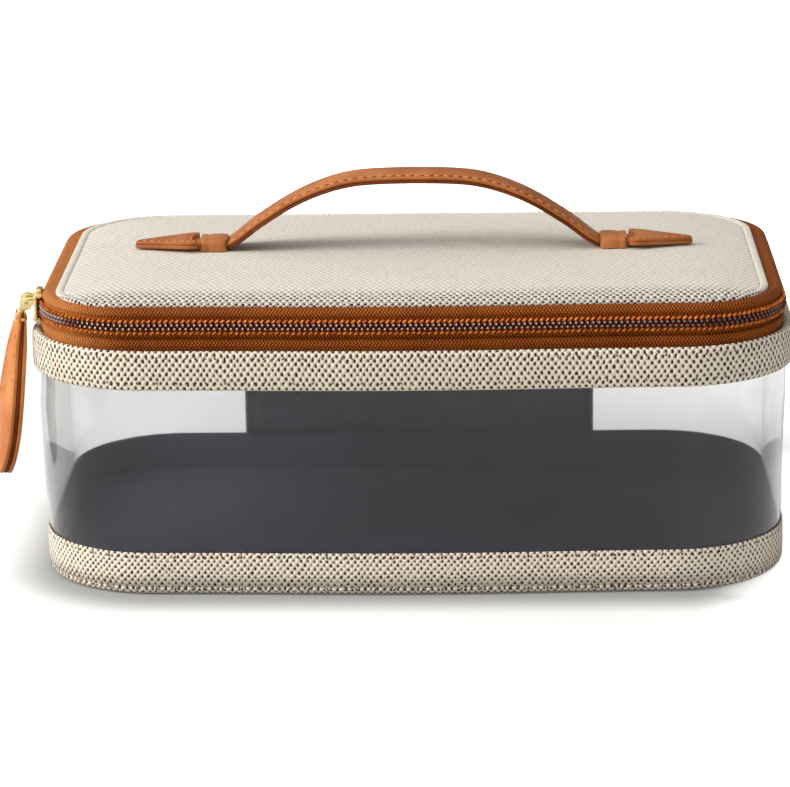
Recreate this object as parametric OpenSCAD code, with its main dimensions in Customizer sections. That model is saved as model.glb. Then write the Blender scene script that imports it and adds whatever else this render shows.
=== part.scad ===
// Soft vanity case: canvas bands, a clear wrap-round wall, a zipped lid and a sliding leather handle.
// Millimetres. The origin is the middle of the underside; +X is right, +Y is the rear and +Z is up.

/* [Body] */
// Width over the clear wall
wall_w = 259; // [230:1:290]
// Depth over the clear wall
wall_d = 153; // [135:1:175]
// Corner radius of the clear wall, outside
wall_r = 40; // [34:0.5:46]
// Height of the window between the two bands
window_h = 57.6; // [45:0.1:90]
// Height of the base band
base_band_h = 15.1; // [12:0.1:22]
// Height of the top band
top_band_h = 14.6; // [12:0.1:20]
// How far the padded top band stands out from the clear wall
top_band_proud = 2.5; // [2:0.1:4]
// How far the clear sheet is tucked behind the base band
base_tuck = 11; // [6:0.5:12]
// How far the clear sheet is tucked behind the top band
top_tuck = 7.8; // [5:0.1:9]
// Rounding of the underside's edge
base_edge_r = 2.8; // [2:0.1:3.4]

/* [Cloth and board] */
// Thickness of the canvas
canvas_t = 0.8; // [0.6:0.05:1]
// Thickness of the clear vinyl sheet
vinyl_t = 0.6; // [0.4:0.05:0.8]
// Thickness of the charcoal lining
lining_t = 0.5; // [0.3:0.05:0.7]
// Thickness of the stiffening boards
board_t = 1.6; // [1.2:0.1:2]
// How far the lining stands above the base band
lining_show = 0.5; // [0.2:0.1:1]

/* [Rear panel] */
// Width of the closed panel at the rear
back_panel_w = 130; // [90:1:150]
// Overlap of the clear sheet and the closed panel
back_overlap = 5; // [3:0.5:8]
// Width of the binding down each edge of the panel
back_binding_w = 1; // [0.8:0.1:2]

/* [Zip] */
// How far the zip tape sits inside the clear wall's outside face
zip_inset = 2; // [1.5:0.1:2.4]
// How much tighter the zip turns its corners than the wall
zip_corner_step = 6; // [5:0.5:6]
// Thickness of the zip tape
tape_t = 0.5; // [0.4:0.05:0.6]
// Height of lower tape that shows above the top band
tape_show = 4.2; // [3:0.1:6]
// Height of each row of teeth
teeth_h = 2.2; // [1.8:0.1:2.6]
// Gap between the two rows of teeth
teeth_gap = 1; // [0.9:0.05:1.2]
// How far the teeth stand out from the tape
teeth_proud = 1.35; // [1:0.05:1.6]
// How far each rear corner the teeth run, in degrees
teeth_turn = 60; // [45:1:66]
// Straight height of upper tape above the teeth
upper_tape_rise = 0.7; // [0.5:0.1:1.5]
// Radius where the upper tape turns in under the lid
tape_turn_r = 2.4; // [2:0.1:3]
// Width of upper tape that is sewn under the lid panel
tape_lap = 8.6; // [7:0.1:10]
// Thickness of the hinge strip at the rear
hinge_t = 0.7; // [0.5:0.05:0.9]

/* [Lid] */
// How far the lid panel stays inside the zip at each side
lid_side_inset = 5.3; // [4:0.1:7]
// How far the lid panel stays inside the zip at the front and the rear
lid_end_inset = 2.8; // [2.6:0.1:4]
// Corner radius of the lid panel at the front
lid_front_r = 25; // [18:0.5:32]
// Corner radius of the lid panel at the rear
lid_back_r = 31; // [24:0.5:34]
// Height of the lid panel's edge
lid_edge_h = 1.2; // [1:0.1:1.6]
// Rise of the padded middle above the edge
lid_crown = 2.6; // [1.5:0.1:3.5]

/* [Handle] */
// Distance of the handle's centre line behind the middle of the case
handle_y = 6; // [0:0.5:12]
// Distance between the two keepers' inner mouths
handle_span = 132.6; // [110:0.2:140]
// Clear height under the middle of the handle
finger_h = 24; // [18:0.2:32]
// Width of the strap
strap_w = 16; // [13:0.2:20]
// Thickness of one layer of strap leather
leather_t = 1.3; // [1:0.05:1.5]
// Height of the padding in the middle of the strap
strap_pad_h = 1.9; // [1:0.1:2.4]
// Length of a keeper, along the strap
keeper_len = 9.5; // [8:0.1:11]
// Thickness of a keeper's leather
keeper_t = 1.2; // [0.8:0.1:1.4]
// Width of the strap's neck inside a keeper
neck_w = 11; // [9:0.2:13]
// Thickness of the strap's neck inside a keeper
neck_t = 2; // [1.6:0.1:2.4]
// Length of an arrow-shaped end
arrow_len = 22.5; // [18:0.5:26]
// Width of an arrow-shaped end
arrow_w = 18; // [15:0.5:22]
// Thickness of an arrow-shaped end
arrow_t = 2.8; // [2.4:0.1:3.4]

/* [Slider and pull] */
// Length of the slider, along the zip
slider_len = 10; // [8:0.5:11]
// Height of the slider's outer plate
slider_h = 8.6; // [7.6:0.1:9]
// Thickness of the slider's outer plate
slider_t = 1.2; // [1:0.1:1.5]
// How far the slider stands behind the start of the zip's front left corner
slider_back = 0.5; // [0:0.5:12]
// Height of the bridge bar above the middle of the zip
bridge_up = 2.2; // [1.5:0.1:2.8]
// Radius of the bridge bar
bridge_r = 1; // [0.8:0.05:1.1]
// Drop from the bridge bar to the pull's pin
link_drop = 6.8; // [6.5:0.1:8]
// How far out the pull's pin is from the bridge bar
link_out = 2.6; // [2.5:0.1:3.2]
// Thickness of the link
link_t = 1.6; // [1.2:0.1:1.8]
// Length of the leather pull below its pin
pull_len = 55.5; // [40:0.5:60]
// Greatest width of the leather pull
pull_w = 19; // [15:0.5:20]
// Thickness of one outer layer of the pull
pull_skin_t = 1.45; // [1:0.05:1.6]
// Thickness of the layer inside the pull
pull_core_t = 1.5; // [1.5:0.05:1.8]
// Turn of the pull about the vertical, in degrees
pull_twist = 25; // [10:1:27]
// Outward lean of the pull, in degrees
pull_lean = 8; // [7:0.5:14]

/* [Hidden] */
$fn = 64;
blend_fn = 32;

// Clearances
slide_gap = 0.3;
corner_gap = 0.8;
pivot_gap = 0.15;
seam_gap = 0.15;

// Heights, from the underside up
base_top = base_band_h;
window_top = base_top + window_h;
band_top = window_top + top_band_h;
vinyl_low = base_top - base_tuck;
vinyl_high = window_top + top_tuck;
floor_z = canvas_t + board_t;
zip_mid = band_top + tape_show + teeth_h + teeth_gap / 2;
tape_edge = teeth_gap / 2 + 0.1;
turn_z = zip_mid + teeth_gap / 2 + teeth_h + upper_tape_rise;
flange_top = turn_z + tape_turn_r;
flange_low = flange_top - tape_t;
panel_edge_z = flange_top + lid_edge_h;
lid_top = panel_edge_z + lid_crown;

// Plan of the zip and of the lid panel
zip_w = wall_w - 2 * zip_inset;
zip_d = wall_d - 2 * zip_inset;
zip_r = wall_r - zip_corner_step;
lid_w = zip_w - 2 * lid_side_inset;
lid_d = zip_d - 2 * lid_end_inset;
hinge_half = zip_w / 2 - zip_r;
teeth_edge = 0.6;

// Padded shapes inside the lid: how far in each step of the crown is
crown_shoulder = 14;
crown_flat = 32;
crown_parts = [[crown_shoulder, 0.62], [crown_flat, 1]];
foam_clear = 0.3;
backing_t = 1;
backing_w = 22;
backing_len = 18;

// Handle: an arc over the top, a tighter arc at each shoulder and a straight leg
strap_t = 2 * leather_t;
mouth_x = handle_span / 2;
strap_end_x = mouth_x - slide_gap - 0.6 * strap_t;
strap_end_z = lid_top + 0.7;
arch_rise = lid_top + finger_h - strap_end_z;
leg_angle = 1.65 * atan(arch_rise / strap_end_x);
top_angle = 0.24 * leg_angle;
top_r = 2 * strap_end_x;
run_x = strap_end_x - top_r * sin(top_angle);
run_z = arch_rise - top_r * (1 - cos(top_angle));
arc_x = sin(leg_angle) - sin(top_angle);
arc_z = cos(top_angle) - cos(leg_angle);
arc_mix = arc_x * sin(leg_angle) - arc_z * cos(leg_angle);
shoulder_r = (run_x * sin(leg_angle) - run_z * cos(leg_angle)) / arc_mix;
leg_len = (arc_x * run_z - arc_z * run_x) / arc_mix;
crest_z = strap_end_z + arch_rise;
shoulder_x = (top_r - shoulder_r) * sin(top_angle);
shoulder_z = crest_z - top_r + (top_r - shoulder_r) * cos(top_angle);
bends = concat(
    [for (k = [0:3]) top_angle * k / 3],
    [for (k = [1:8]) top_angle + (leg_angle - top_angle) * k / 8]
);
pad_stop = 7;
crown_h = strap_t + strap_pad_h;
crown_half = strap_w / 2 - 1;
crown_layers = 3;
crown_r = (crown_half * crown_half + strap_pad_h * strap_pad_h) / (2 * strap_pad_h);
rest_z = lid_top + slide_gap;
arrow_x = mouth_x + keeper_len + 1;
arrow_blunt = 2.6;
slot_w = neck_w + 2 * slide_gap;
slot_h = neck_t + 2 * slide_gap;

// Slider and pull
slider_y = -(zip_d / 2 - zip_r - slider_back);
teeth_face = zip_w / 2 + teeth_proud;
plate_in = teeth_face + slide_gap;
plate_out = plate_in + slider_t;
inner_plate_out = zip_w / 2 - tape_t - corner_gap;
inner_plate_t = 1;
inner_plate_h = slider_h - 1.6;
slider_neck_t = teeth_gap - 2 * slide_gap;
slider_neck_len = 3.5;
eye_r = 2.4;
pin_r = 0.7;
pin_bore_r = 1.4;
pin_eye_r = 2.3;
bridge_x = plate_out + slide_gap + eye_r;
bridge_z = zip_mid + bridge_up;
bridge_post = 1.4;
pin_x = bridge_x + link_out;
pin_z = bridge_z - link_drop;
pull_top_half = 3.6;
pull_slot_half = 1.9;
pull_tip_r = 5;

canvas_colour = "#E1D8C4";
charcoal = "#3E3D43";
tan_leather = "#BE6E3C";
tape_colour = "#AA5A28";
teeth_colour = "#4A2014";
gold = "#E1CD8C";
board_colour = "#B9A98C";
foam_colour = "#F0EDE4";
clear_vinyl = [0.9, 0.92, 0.93, 0.3];

// ---- Shared shapes ----

// A flat slab with rounded corners, front and rear radii apart, from z0 up to z1
module slab(w, d, front_r, back_r, z0, z1) {
    translate([-w / 2, -d / 2 + front_r, z0])
        cube([w, d - front_r - back_r, z1 - z0]);
    for (end = [[-1, front_r], [1, back_r]]) {
        r = end[1];
        translate([-w / 2 + r, end[0] < 0 ? -d / 2 : d / 2 - r, z0])
            cube([w - 2 * r, r, z1 - z0]);
        for (sx = [-1, 1])
            translate([sx * (w / 2 - r), end[0] * (d / 2 - r), z0])
                rotate([0, 0, end[0] > 0 ? (sx > 0 ? 0 : 90) : (sx > 0 ? 270 : 180)])
                    rotate_extrude(angle = 90) square([r, z1 - z0]);
    }
}

// A slab that follows the clear wall, grown by o
module wall_slab(o, z0, z1) {
    slab(wall_w + 2 * o, wall_d + 2 * o, wall_r + o, wall_r + o, z0, z1);
}

// A slab that follows the zip tape, grown by o
module zip_slab(o, z0, z1) {
    slab(zip_w + 2 * o, zip_d + 2 * o, zip_r + o, zip_r + o, z0, z1);
}

// A slab that follows the lid panel, shrunk by inset
module lid_slab(inset, z0, z1) {
    slab(lid_w - 2 * inset, lid_d - 2 * inset, lid_front_r - inset, lid_back_r - inset, z0, z1);
}

// Carries a flat section round a rounded rectangle; the section's x points outward and its y up.
// back_turn is how far round each rear corner it goes; back is whether it closes across the rear.
module sweep(w, d, r, back_turn = 90, back = true) {
    for (s = [0, 1]) mirror([s, 0, 0]) {
        translate([w / 2, d / 2 - r, 0]) rotate([90, 0, 0])
            linear_extrude(d - 2 * r) children();
        translate([w / 2 - r, -d / 2 + r, 0]) rotate([0, 0, 270])
            rotate_extrude(angle = 90) translate([r, 0]) children();
        translate([w / 2 - r, d / 2 - r, 0])
            rotate_extrude(angle = back_turn) translate([r, 0]) children();
    }
    translate([w / 2 - r, -d / 2, 0]) rotate([0, 0, -90]) rotate([90, 0, 0])
        linear_extrude(w - 2 * r) children();
    if (back)
        translate([-w / 2 + r, d / 2, 0]) rotate([0, 0, 90]) rotate([90, 0, 0])
            linear_extrude(w - 2 * r) children();
}

module wall_sweep(back_turn = 90, back = true) {
    sweep(wall_w, wall_d, wall_r, back_turn, back) children();
}

module zip_sweep(back_turn = 90, back = true) {
    sweep(zip_w, zip_d, zip_r, back_turn, back) children();
}

// ---- Base tray ----

module base_bottom_canvas() {
    color(canvas_colour) {
        wall_slab(canvas_t - base_edge_r, 0, canvas_t);
        wall_sweep() intersection() {
            translate([canvas_t - base_edge_r, base_edge_r]) difference() {
                circle(base_edge_r);
                circle(base_edge_r - canvas_t);
            }
            translate([canvas_t - base_edge_r, 0]) square(base_edge_r);
        }
    }
}

module base_board() {
    color(board_colour) wall_slab(canvas_t - base_edge_r, canvas_t, floor_z);
}

module base_band() {
    color(canvas_colour) wall_sweep()
        translate([0, base_edge_r]) square([canvas_t, base_top - base_edge_r]);
}

module floor_lining() {
    color(charcoal) wall_slab(-vinyl_t - lining_t, floor_z, floor_z + lining_t);
}

module base_wall_lining() {
    color(charcoal) wall_sweep()
        translate([-vinyl_t - lining_t, floor_z])
            square([lining_t, base_top + lining_show - floor_z]);
}

// ---- Clear wall and the closed panel at the rear ----

module window_wrap() {
    color(clear_vinyl) difference() {
        wall_sweep()
            translate([-vinyl_t, vinyl_low]) square([vinyl_t, vinyl_high - vinyl_low]);
        translate([-back_panel_w / 2 + back_overlap, wall_d / 2 - 2 * vinyl_t, 0])
            cube([back_panel_w - 2 * back_overlap, 3 * vinyl_t, band_top]);
    }
}

module back_panel_canvas() {
    color(canvas_colour)
        translate([-back_panel_w / 2, wall_d / 2, base_top])
            cube([back_panel_w, canvas_t, window_h]);
}

module back_panel_board() {
    width = back_panel_w - 2 * back_overlap;
    color(board_colour)
        translate([-width / 2, wall_d / 2 - vinyl_t, vinyl_low])
            cube([width, vinyl_t, vinyl_high - vinyl_low]);
}

module back_panel_lining() {
    color(charcoal)
        translate([-back_panel_w / 2, wall_d / 2 - vinyl_t - lining_t, base_top + lining_show])
            cube([back_panel_w, lining_t, window_h - lining_show]);
}

module back_panel_binding() {
    color(tan_leather) for (s = [0, 1]) mirror([s, 0, 0])
        translate([back_panel_w / 2, wall_d / 2 - vinyl_t - lining_t, base_top + lining_show])
            cube([back_binding_w, lining_t, window_h - lining_show]);
}

// ---- Padded top band ----

band_edge_r = 1.4;

// The band's own section: a strip with two rounded outer edges
module band_section(shrink) {
    r = band_edge_r - shrink;
    right = top_band_proud - shrink;
    low = window_top + shrink;
    high = band_top - shrink;
    translate([0, low]) square([right - r, high - low]);
    translate([0, low + r]) square([right, high - low - 2 * r]);
    for (z = [low + r, high - r]) translate([right - r, z]) circle(r);
}

module top_band() {
    color(canvas_colour) {
        wall_sweep() difference() {
            intersection() {
                band_section(0);
                translate([0, window_top]) square([top_band_proud, top_band_h]);
            }
            intersection() {
                band_section(canvas_t);
                translate([0, window_top]) square([top_band_proud, top_band_h]);
            }
        }
        difference() {
            wall_slab(0, band_top - canvas_t, band_top);
            zip_slab(0, band_top - 2 * canvas_t, band_top + canvas_t);
        }
    }
}

module top_band_core() {
    color(foam_colour) {
        wall_sweep() intersection() {
            band_section(canvas_t);
            translate([0, window_top]) square([top_band_proud, top_band_h]);
        }
        difference() {
            wall_slab(0, vinyl_high, band_top - canvas_t);
            zip_slab(0, vinyl_high - 1, band_top);
        }
        difference() {
            wall_slab(-vinyl_t, window_top, vinyl_high);
            zip_slab(-tape_t, window_top - 1, vinyl_high + 1);
        }
    }
}

module top_band_lining() {
    color(charcoal) zip_sweep()
        translate([-tape_t - lining_t, window_top]) square([lining_t, top_band_h - canvas_t]);
}

// ---- Zip ----

module zip_tape_lower() {
    color(tape_colour) zip_sweep()
        translate([-tape_t, vinyl_high])
            square([tape_t, zip_mid - tape_edge - vinyl_high]);
}

module zip_tape_upper() {
    color(tape_colour) zip_sweep() {
        translate([-tape_t, zip_mid + tape_edge])
            square([tape_t, turn_z - zip_mid - tape_edge]);
        intersection() {
            translate([-tape_turn_r, turn_z]) difference() {
                circle(tape_turn_r);
                circle(tape_turn_r - tape_t);
            }
            translate([-tape_turn_r, turn_z]) square(tape_turn_r);
        }
        translate([-tape_turn_r - tape_lap, flange_low]) square([tape_lap, tape_t]);
    }
}

// One row of teeth, centred at height z, down both sides, along the front and part way
// round the rear corners; its outer edges are chamfered
module teeth_row(z) {
    half = teeth_h / 2;
    color(teeth_colour) zip_sweep(teeth_turn, false) polygon([
        [0, z - half], [teeth_proud - teeth_edge, z - half], [teeth_proud, z - half + teeth_edge],
        [teeth_proud, z + half - teeth_edge], [teeth_proud - teeth_edge, z + half], [0, z + half]
    ]);
}

module zip_teeth_lower() {
    teeth_row(zip_mid - teeth_gap / 2 - teeth_h / 2);
}

module zip_teeth_upper() {
    teeth_row(zip_mid + teeth_gap / 2 + teeth_h / 2);
}

// A small metal clip at each end of one row, from height z up
module zip_stops(z) {
    stop_turn = 3;
    color(gold) for (s = [0, 1]) mirror([s, 0, 0])
        translate([zip_w / 2 - zip_r, zip_d / 2 - zip_r, z])
            rotate_extrude(angle = stop_turn, start = teeth_turn)
                translate([zip_r, 0]) square([teeth_proud, teeth_h]);
}

module zip_stops_lower() {
    zip_stops(zip_mid - teeth_gap / 2 - teeth_h);
}

module zip_stops_upper() {
    zip_stops(zip_mid + teeth_gap / 2);
}

// The hinge strip runs straight across the rear; its two leaves meet at the middle of the zip
module hinge_leaf() {
    color(tape_colour)
        translate([-hinge_half, zip_d / 2, 0]) rotate([0, 0, 90]) rotate([90, 0, 0])
            linear_extrude(2 * hinge_half) children();
}

module hinge_strip_lower() {
    hinge_leaf() translate([0, band_top])
        square([hinge_t, zip_mid - seam_gap - band_top]);
}

module hinge_strip_upper() {
    low = zip_mid + seam_gap;
    hinge_leaf() {
        translate([0, low]) square([hinge_t, turn_z - low]);
        intersection() {
            translate([-tape_turn_r, turn_z]) difference() {
                circle(tape_turn_r + hinge_t);
                circle(tape_turn_r);
            }
            translate([-tape_turn_r, turn_z]) square(tape_turn_r + hinge_t);
        }
    }
}

// ---- Lid ----

module lid_board() {
    color(board_colour) lid_slab(canvas_t, flange_low - board_t, flange_low);
}

module lid_lining() {
    color(charcoal) lid_slab(canvas_t - lining_t, flange_low - board_t - lining_t, flange_low - board_t);
}

// The padding's outline over the lid board
module pad_solid() {
    hull() {
        zip_slab(-tape_turn_r - tape_lap - foam_clear, flange_low, flange_top, $fn = blend_fn);
        for (part = crown_parts)
            lid_slab(part[0] + canvas_t, flange_low,
                panel_edge_z + lid_crown * part[1] - canvas_t, $fn = blend_fn);
    }
}

module lid_foam() {
    color(foam_colour) difference() {
        pad_solid();
        backing_plates();
    }
}

module lid_canvas() {
    color(canvas_colour) difference() {
        hull() {
            lid_slab(0, flange_top, panel_edge_z - lid_edge_h / 3, $fn = blend_fn);
            lid_slab(lid_edge_h / 2, flange_top, panel_edge_z, $fn = blend_fn);
            for (part = crown_parts)
                lid_slab(part[0], flange_top,
                    panel_edge_z + lid_crown * part[1], $fn = blend_fn);
        }
        pad_solid();
    }
}

// ---- Handle ----

// The plates under the canvas that the keepers are sewn to
module backing_plates() {
    for (s = [-1, 1])
        translate([s * (mouth_x + keeper_len / 2), handle_y, flange_low + backing_t / 2])
            cube([backing_len, backing_w, backing_t], center = true);
}

module handle_backing() {
    color(board_colour) backing_plates();
}

// A keeper: a low leather bridge that the strap's neck slides through
module keeper(s) {
    color(tan_leather)
        translate([s * (mouth_x + keeper_len / 2), handle_y, lid_top]) difference() {
            translate([-keeper_len / 2, -slot_w / 2 - keeper_t, 0])
                cube([keeper_len, slot_w + 2 * keeper_t, slot_h + keeper_t]);
            translate([-keeper_len, -slot_w / 2, -1])
                cube([2 * keeper_len, slot_w, slot_h + 1]);
        }
}

module keeper_left() {
    keeper(-1);
}

module keeper_right() {
    keeper(1);
}

// A point h above the strap's underside, where the handle has turned by the angle a or
// gone run further down its leg; side is 1 for the right half and -1 for the left
function arch_point(a, run, h, side) =
    let (on_top = a <= top_angle)
    let (r = h + (on_top ? top_r : shoulder_r))
    let (x = (on_top ? 0 : shoulder_x) + r * sin(a) + run * cos(a))
    let (z = (on_top ? crest_z - top_r : shoulder_z) + r * cos(a) - run * sin(a))
    [side * x, z];

// The whole arch at height h, from the left leg's end to the right one's;
// stop is how much of each leg is left off
function arch_line(h, stop) = concat(
    [arch_point(leg_angle, leg_len - stop, h, -1)],
    [for (k = [len(bends) - 1:-1:1]) arch_point(bends[k], 0, h, -1)],
    [for (k = [0:len(bends) - 1]) arch_point(bends[k], 0, h, 1)],
    [arch_point(leg_angle, leg_len - stop, h, 1)]
);

// One layer of the handle, from h0 up to h1 above the strap's underside
module arch_layer(h0, h1, width, stop) {
    far_line = arch_line(h1, stop);
    last = len(far_line) - 1;
    translate([0, handle_y + width / 2, 0]) rotate([90, 0, 0]) linear_extrude(width)
        polygon(concat(arch_line(h0, stop), [for (k = [0:last]) far_line[last - k]]));
}

// The crown in thin steps; skin is the leather left outside it
module crown_steps_shape(skin, stop) {
    step = strap_pad_h / crown_layers;
    for (k = [0:crown_layers - 1]) {
        up = (k + 0.5) * step;
        half = sqrt(pow(crown_r, 2) - pow(crown_r - strap_pad_h + up, 2));
        arch_layer(strap_t - skin + (k > 0 ? k * step : 0), strap_t - skin + (k + 1) * step,
            2 * (half - skin), stop);
    }
}

module handle_strap_lower() {
    color(tan_leather) arch_layer(0, leather_t, strap_w, 0);
}

module handle_padding() {
    color(foam_colour) crown_steps_shape(leather_t, pad_stop + leather_t);
}

module handle_strap_upper() {
    color(tan_leather) difference() {
        union() {
            arch_layer(leather_t, strap_t, strap_w, 0);
            crown_steps_shape(0, pad_stop);
        }
        crown_steps_shape(leather_t, pad_stop + leather_t);
    }
}

// An arrow-shaped end and the neck that slides through its keeper
module handle_end(s) {
    far = arrow_x + arrow_len;
    color(tan_leather) mirror([s < 0 ? 1 : 0, 0, 0]) translate([0, handle_y, rest_z]) {
        translate([mouth_x + slide_gap, -neck_w / 2, 0])
            cube([keeper_len + 2, neck_w, neck_t]);
        linear_extrude(arrow_t) polygon([
            [arrow_x, -arrow_w / 2 + 2.5], [arrow_x + 2.5, -arrow_w / 2],
            [far - 1, -arrow_blunt / 2], [far, 0], [far - 1, arrow_blunt / 2],
            [arrow_x + 2.5, arrow_w / 2], [arrow_x, arrow_w / 2 - 2.5]
        ]);
    }
}

module handle_end_left() {
    handle_end(-1);
}

module handle_end_right() {
    handle_end(1);
}

// ---- Slider and pull ----

module slider_body() {
    color(gold) translate([0, slider_y, zip_mid]) {
        translate([-plate_out, -slider_len / 2, -slider_h / 2])
            cube([slider_t, slider_len, slider_h]);
        translate([-inner_plate_out, -slider_len / 2, -inner_plate_h / 2])
            cube([inner_plate_t, slider_len, inner_plate_h]);
        translate([-plate_in, slider_len / 2 - slider_neck_len, -slider_neck_t / 2])
            cube([plate_in - inner_plate_out, slider_neck_len, slider_neck_t]);
    }
}

module slider_bridge() {
    color(gold) translate([0, slider_y, bridge_z]) {
        translate([-bridge_x, slider_len / 2 - 0.6, 0]) rotate([90, 0, 0])
            cylinder(r = bridge_r, h = slider_len - 1.2);
        for (y = [-slider_len / 2 + 0.6, slider_len / 2 - 0.6 - bridge_post])
            translate([-bridge_x, y, -bridge_r * 0.8])
                cube([bridge_x - plate_out, bridge_post, bridge_r * 1.6]);
    }
}

module pull_link() {
    fall = atan2(link_out, link_drop);
    reach = norm([link_out, link_drop]);
    color(gold) translate([-bridge_x, slider_y + link_t / 2, bridge_z]) rotate([90, 0, 0])
        difference() {
            union() {
                cylinder(r = eye_r, h = link_t);
                translate([-link_out, -link_drop, 0]) cylinder(r = pin_eye_r, h = link_t);
                rotate([0, 0, -fall]) translate([-1.5, -reach, 0]) cube([3, reach, link_t]);
            }
            translate([0, 0, -1]) cylinder(r = bridge_r + pivot_gap, h = link_t + 2);
            translate([-link_out, -link_drop, -1]) cylinder(r = pin_bore_r, h = link_t + 2);
        }
}

// The pull's own frame: x across it, y down it and z out through its outer face
module pull_frame() {
    translate([-pin_x, slider_y, pin_z])
        rotate([0, 0, pull_twist]) rotate([0, pull_lean, 0])
            multmatrix([[0, 0, -1, 0], [1, 0, 0, 0], [0, -1, 0, 0], [0, 0, 0, 1]])
                children();
}

// Outline of the pull, with a slot at the top for the link
module pull_outline() {
    wide_y = pull_len * 0.67;
    difference() {
        hull() {
            translate([0, 0.8]) circle(pull_top_half, $fn = blend_fn);
            translate([0, wide_y]) circle(pull_w / 2, $fn = blend_fn);
            translate([0, pull_len - pull_tip_r]) circle(pull_tip_r, $fn = blend_fn);
        }
        translate([-pull_slot_half, -pull_top_half * 2])
            square([2 * pull_slot_half, pull_top_half * 2 + pin_eye_r + slide_gap]);
    }
}

module pull_front() {
    color(tan_leather) pull_frame()
        translate([0, 0, pull_core_t / 2]) linear_extrude(pull_skin_t) pull_outline();
}

module pull_core() {
    color(tan_leather) pull_frame() difference() {
        translate([0, 0, -pull_core_t / 2]) linear_extrude(pull_core_t) pull_outline();
        rotate([0, 90, 0]) translate([0, 0, -pull_top_half])
            cylinder(r = pin_r, h = 2 * pull_top_half);
    }
}

module pull_back() {
    color(tan_leather) pull_frame()
        translate([0, 0, -pull_core_t / 2 - pull_skin_t]) linear_extrude(pull_skin_t) pull_outline();
}

module pull_pin() {
    half = pull_top_half - 0.4;
    color(gold) pull_frame() rotate([0, 90, 0]) translate([0, 0, -half])
        cylinder(r = pin_r, h = 2 * half);
}

// ---- Assembly ----

base_bottom_canvas();
base_board();
base_band();
floor_lining();
base_wall_lining();
window_wrap();
back_panel_canvas();
back_panel_board();
back_panel_lining();
back_panel_binding();
top_band();
top_band_core();
top_band_lining();
zip_tape_lower();
zip_teeth_lower();
zip_stops_lower();
hinge_strip_lower();
zip_tape_upper();
zip_teeth_upper();
zip_stops_upper();
hinge_strip_upper();
lid_lining();
lid_board();
lid_foam();
lid_canvas();
handle_backing();
keeper_left();
keeper_right();
handle_strap_lower();
handle_padding();
handle_strap_upper();
handle_end_left();
handle_end_right();
slider_body();
slider_bridge();
pull_link();
pull_pin();
pull_front();
pull_core();
pull_back();
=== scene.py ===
# %% [markdown]
# # A soft vanity case with a clear wall
#
# This lesson dresses a finished frame, which already has every part in its true place, as
# the real object: woven canvas bands, a clear vinyl wall, a charcoal lining, a zip with a
# leather pull, and a padded leather handle whose ends slide through two keepers.
# Everything is in metres, and the origin is the middle of the underside.

# %% Load the frame
import math

import bmesh
import bpy
from mathutils import Matrix, Quaternion, Vector, noise


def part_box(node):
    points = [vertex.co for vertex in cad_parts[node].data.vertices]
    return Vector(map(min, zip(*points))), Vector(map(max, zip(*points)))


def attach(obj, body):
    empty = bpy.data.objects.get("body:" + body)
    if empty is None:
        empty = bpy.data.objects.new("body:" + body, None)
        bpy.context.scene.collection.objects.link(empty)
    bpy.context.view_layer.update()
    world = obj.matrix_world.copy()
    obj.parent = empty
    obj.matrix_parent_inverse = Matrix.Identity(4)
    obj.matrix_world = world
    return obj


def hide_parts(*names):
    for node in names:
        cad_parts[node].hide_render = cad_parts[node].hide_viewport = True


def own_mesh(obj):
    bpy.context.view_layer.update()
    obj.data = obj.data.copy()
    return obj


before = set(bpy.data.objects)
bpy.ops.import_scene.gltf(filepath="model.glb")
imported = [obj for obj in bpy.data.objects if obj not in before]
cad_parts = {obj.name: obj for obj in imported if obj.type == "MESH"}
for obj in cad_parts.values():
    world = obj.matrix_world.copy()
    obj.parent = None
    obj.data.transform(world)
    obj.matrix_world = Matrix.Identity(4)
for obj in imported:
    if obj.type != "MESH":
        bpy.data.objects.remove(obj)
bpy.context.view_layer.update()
add_to_scene = bpy.context.scene.collection.objects.link
MM = 0.001
print("the frame holds", len(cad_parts), "parts")

# %% [markdown]
# ## The camera
#
# The camera comes first, because it fixes how large every detail will be seen. The view is
# from far off with a long lens, a little above the case, so the sides hardly converge.

# %% Place the camera
camera_data = bpy.data.cameras.new("case_camera")
camera_data.lens = 171.0
camera_data.sensor_width = 36.0
camera_data.clip_end = 20.0
camera = bpy.data.objects.new("case_camera", camera_data)
add_to_scene(camera)
camera.location = (25 * MM, -1300 * MM, 398.5 * MM)
YAW, TIP, ROLL = 1.42, 90 - 14.97, -0.8
camera.rotation_mode = "QUATERNION"
camera.rotation_quaternion = (
    Quaternion((0, 0, 1), math.radians(YAW))
    @ Quaternion((1, 0, 0), math.radians(TIP))
    @ Quaternion((0, 0, 1), math.radians(ROLL))
)
bpy.context.scene.camera = camera
bpy.context.scene.view_settings.view_transform = "Standard"
print("camera at", [round(x, 3) for x in camera.location])

# %% [markdown]
# ## Sizes
#
# The case is a stack of rounded rectangles. Each one is a plan: a width, a depth and a
# corner radius. Writing them down once keeps the canvas, the vinyl and the zip in step.

# %% Name the plans and heights
WALL_PLAN = (259 * MM, 153 * MM, 40 * MM)
ZIP_PLAN = (255 * MM, 149 * MM, 34 * MM)
LID_HALF_X, LID_HALF_Y = 122.2 * MM, 71.7 * MM
LID_FRONT_R, LID_BACK_R = 25 * MM, 31 * MM

CANVAS_T, VINYL_T, LINING_T, TAPE_T = 0.8 * MM, 0.6 * MM, 0.5 * MM, 0.5 * MM


def heights(node):
    """The lowest and the highest point of a part."""
    low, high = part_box(node)
    return low[2], high[2]


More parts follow.
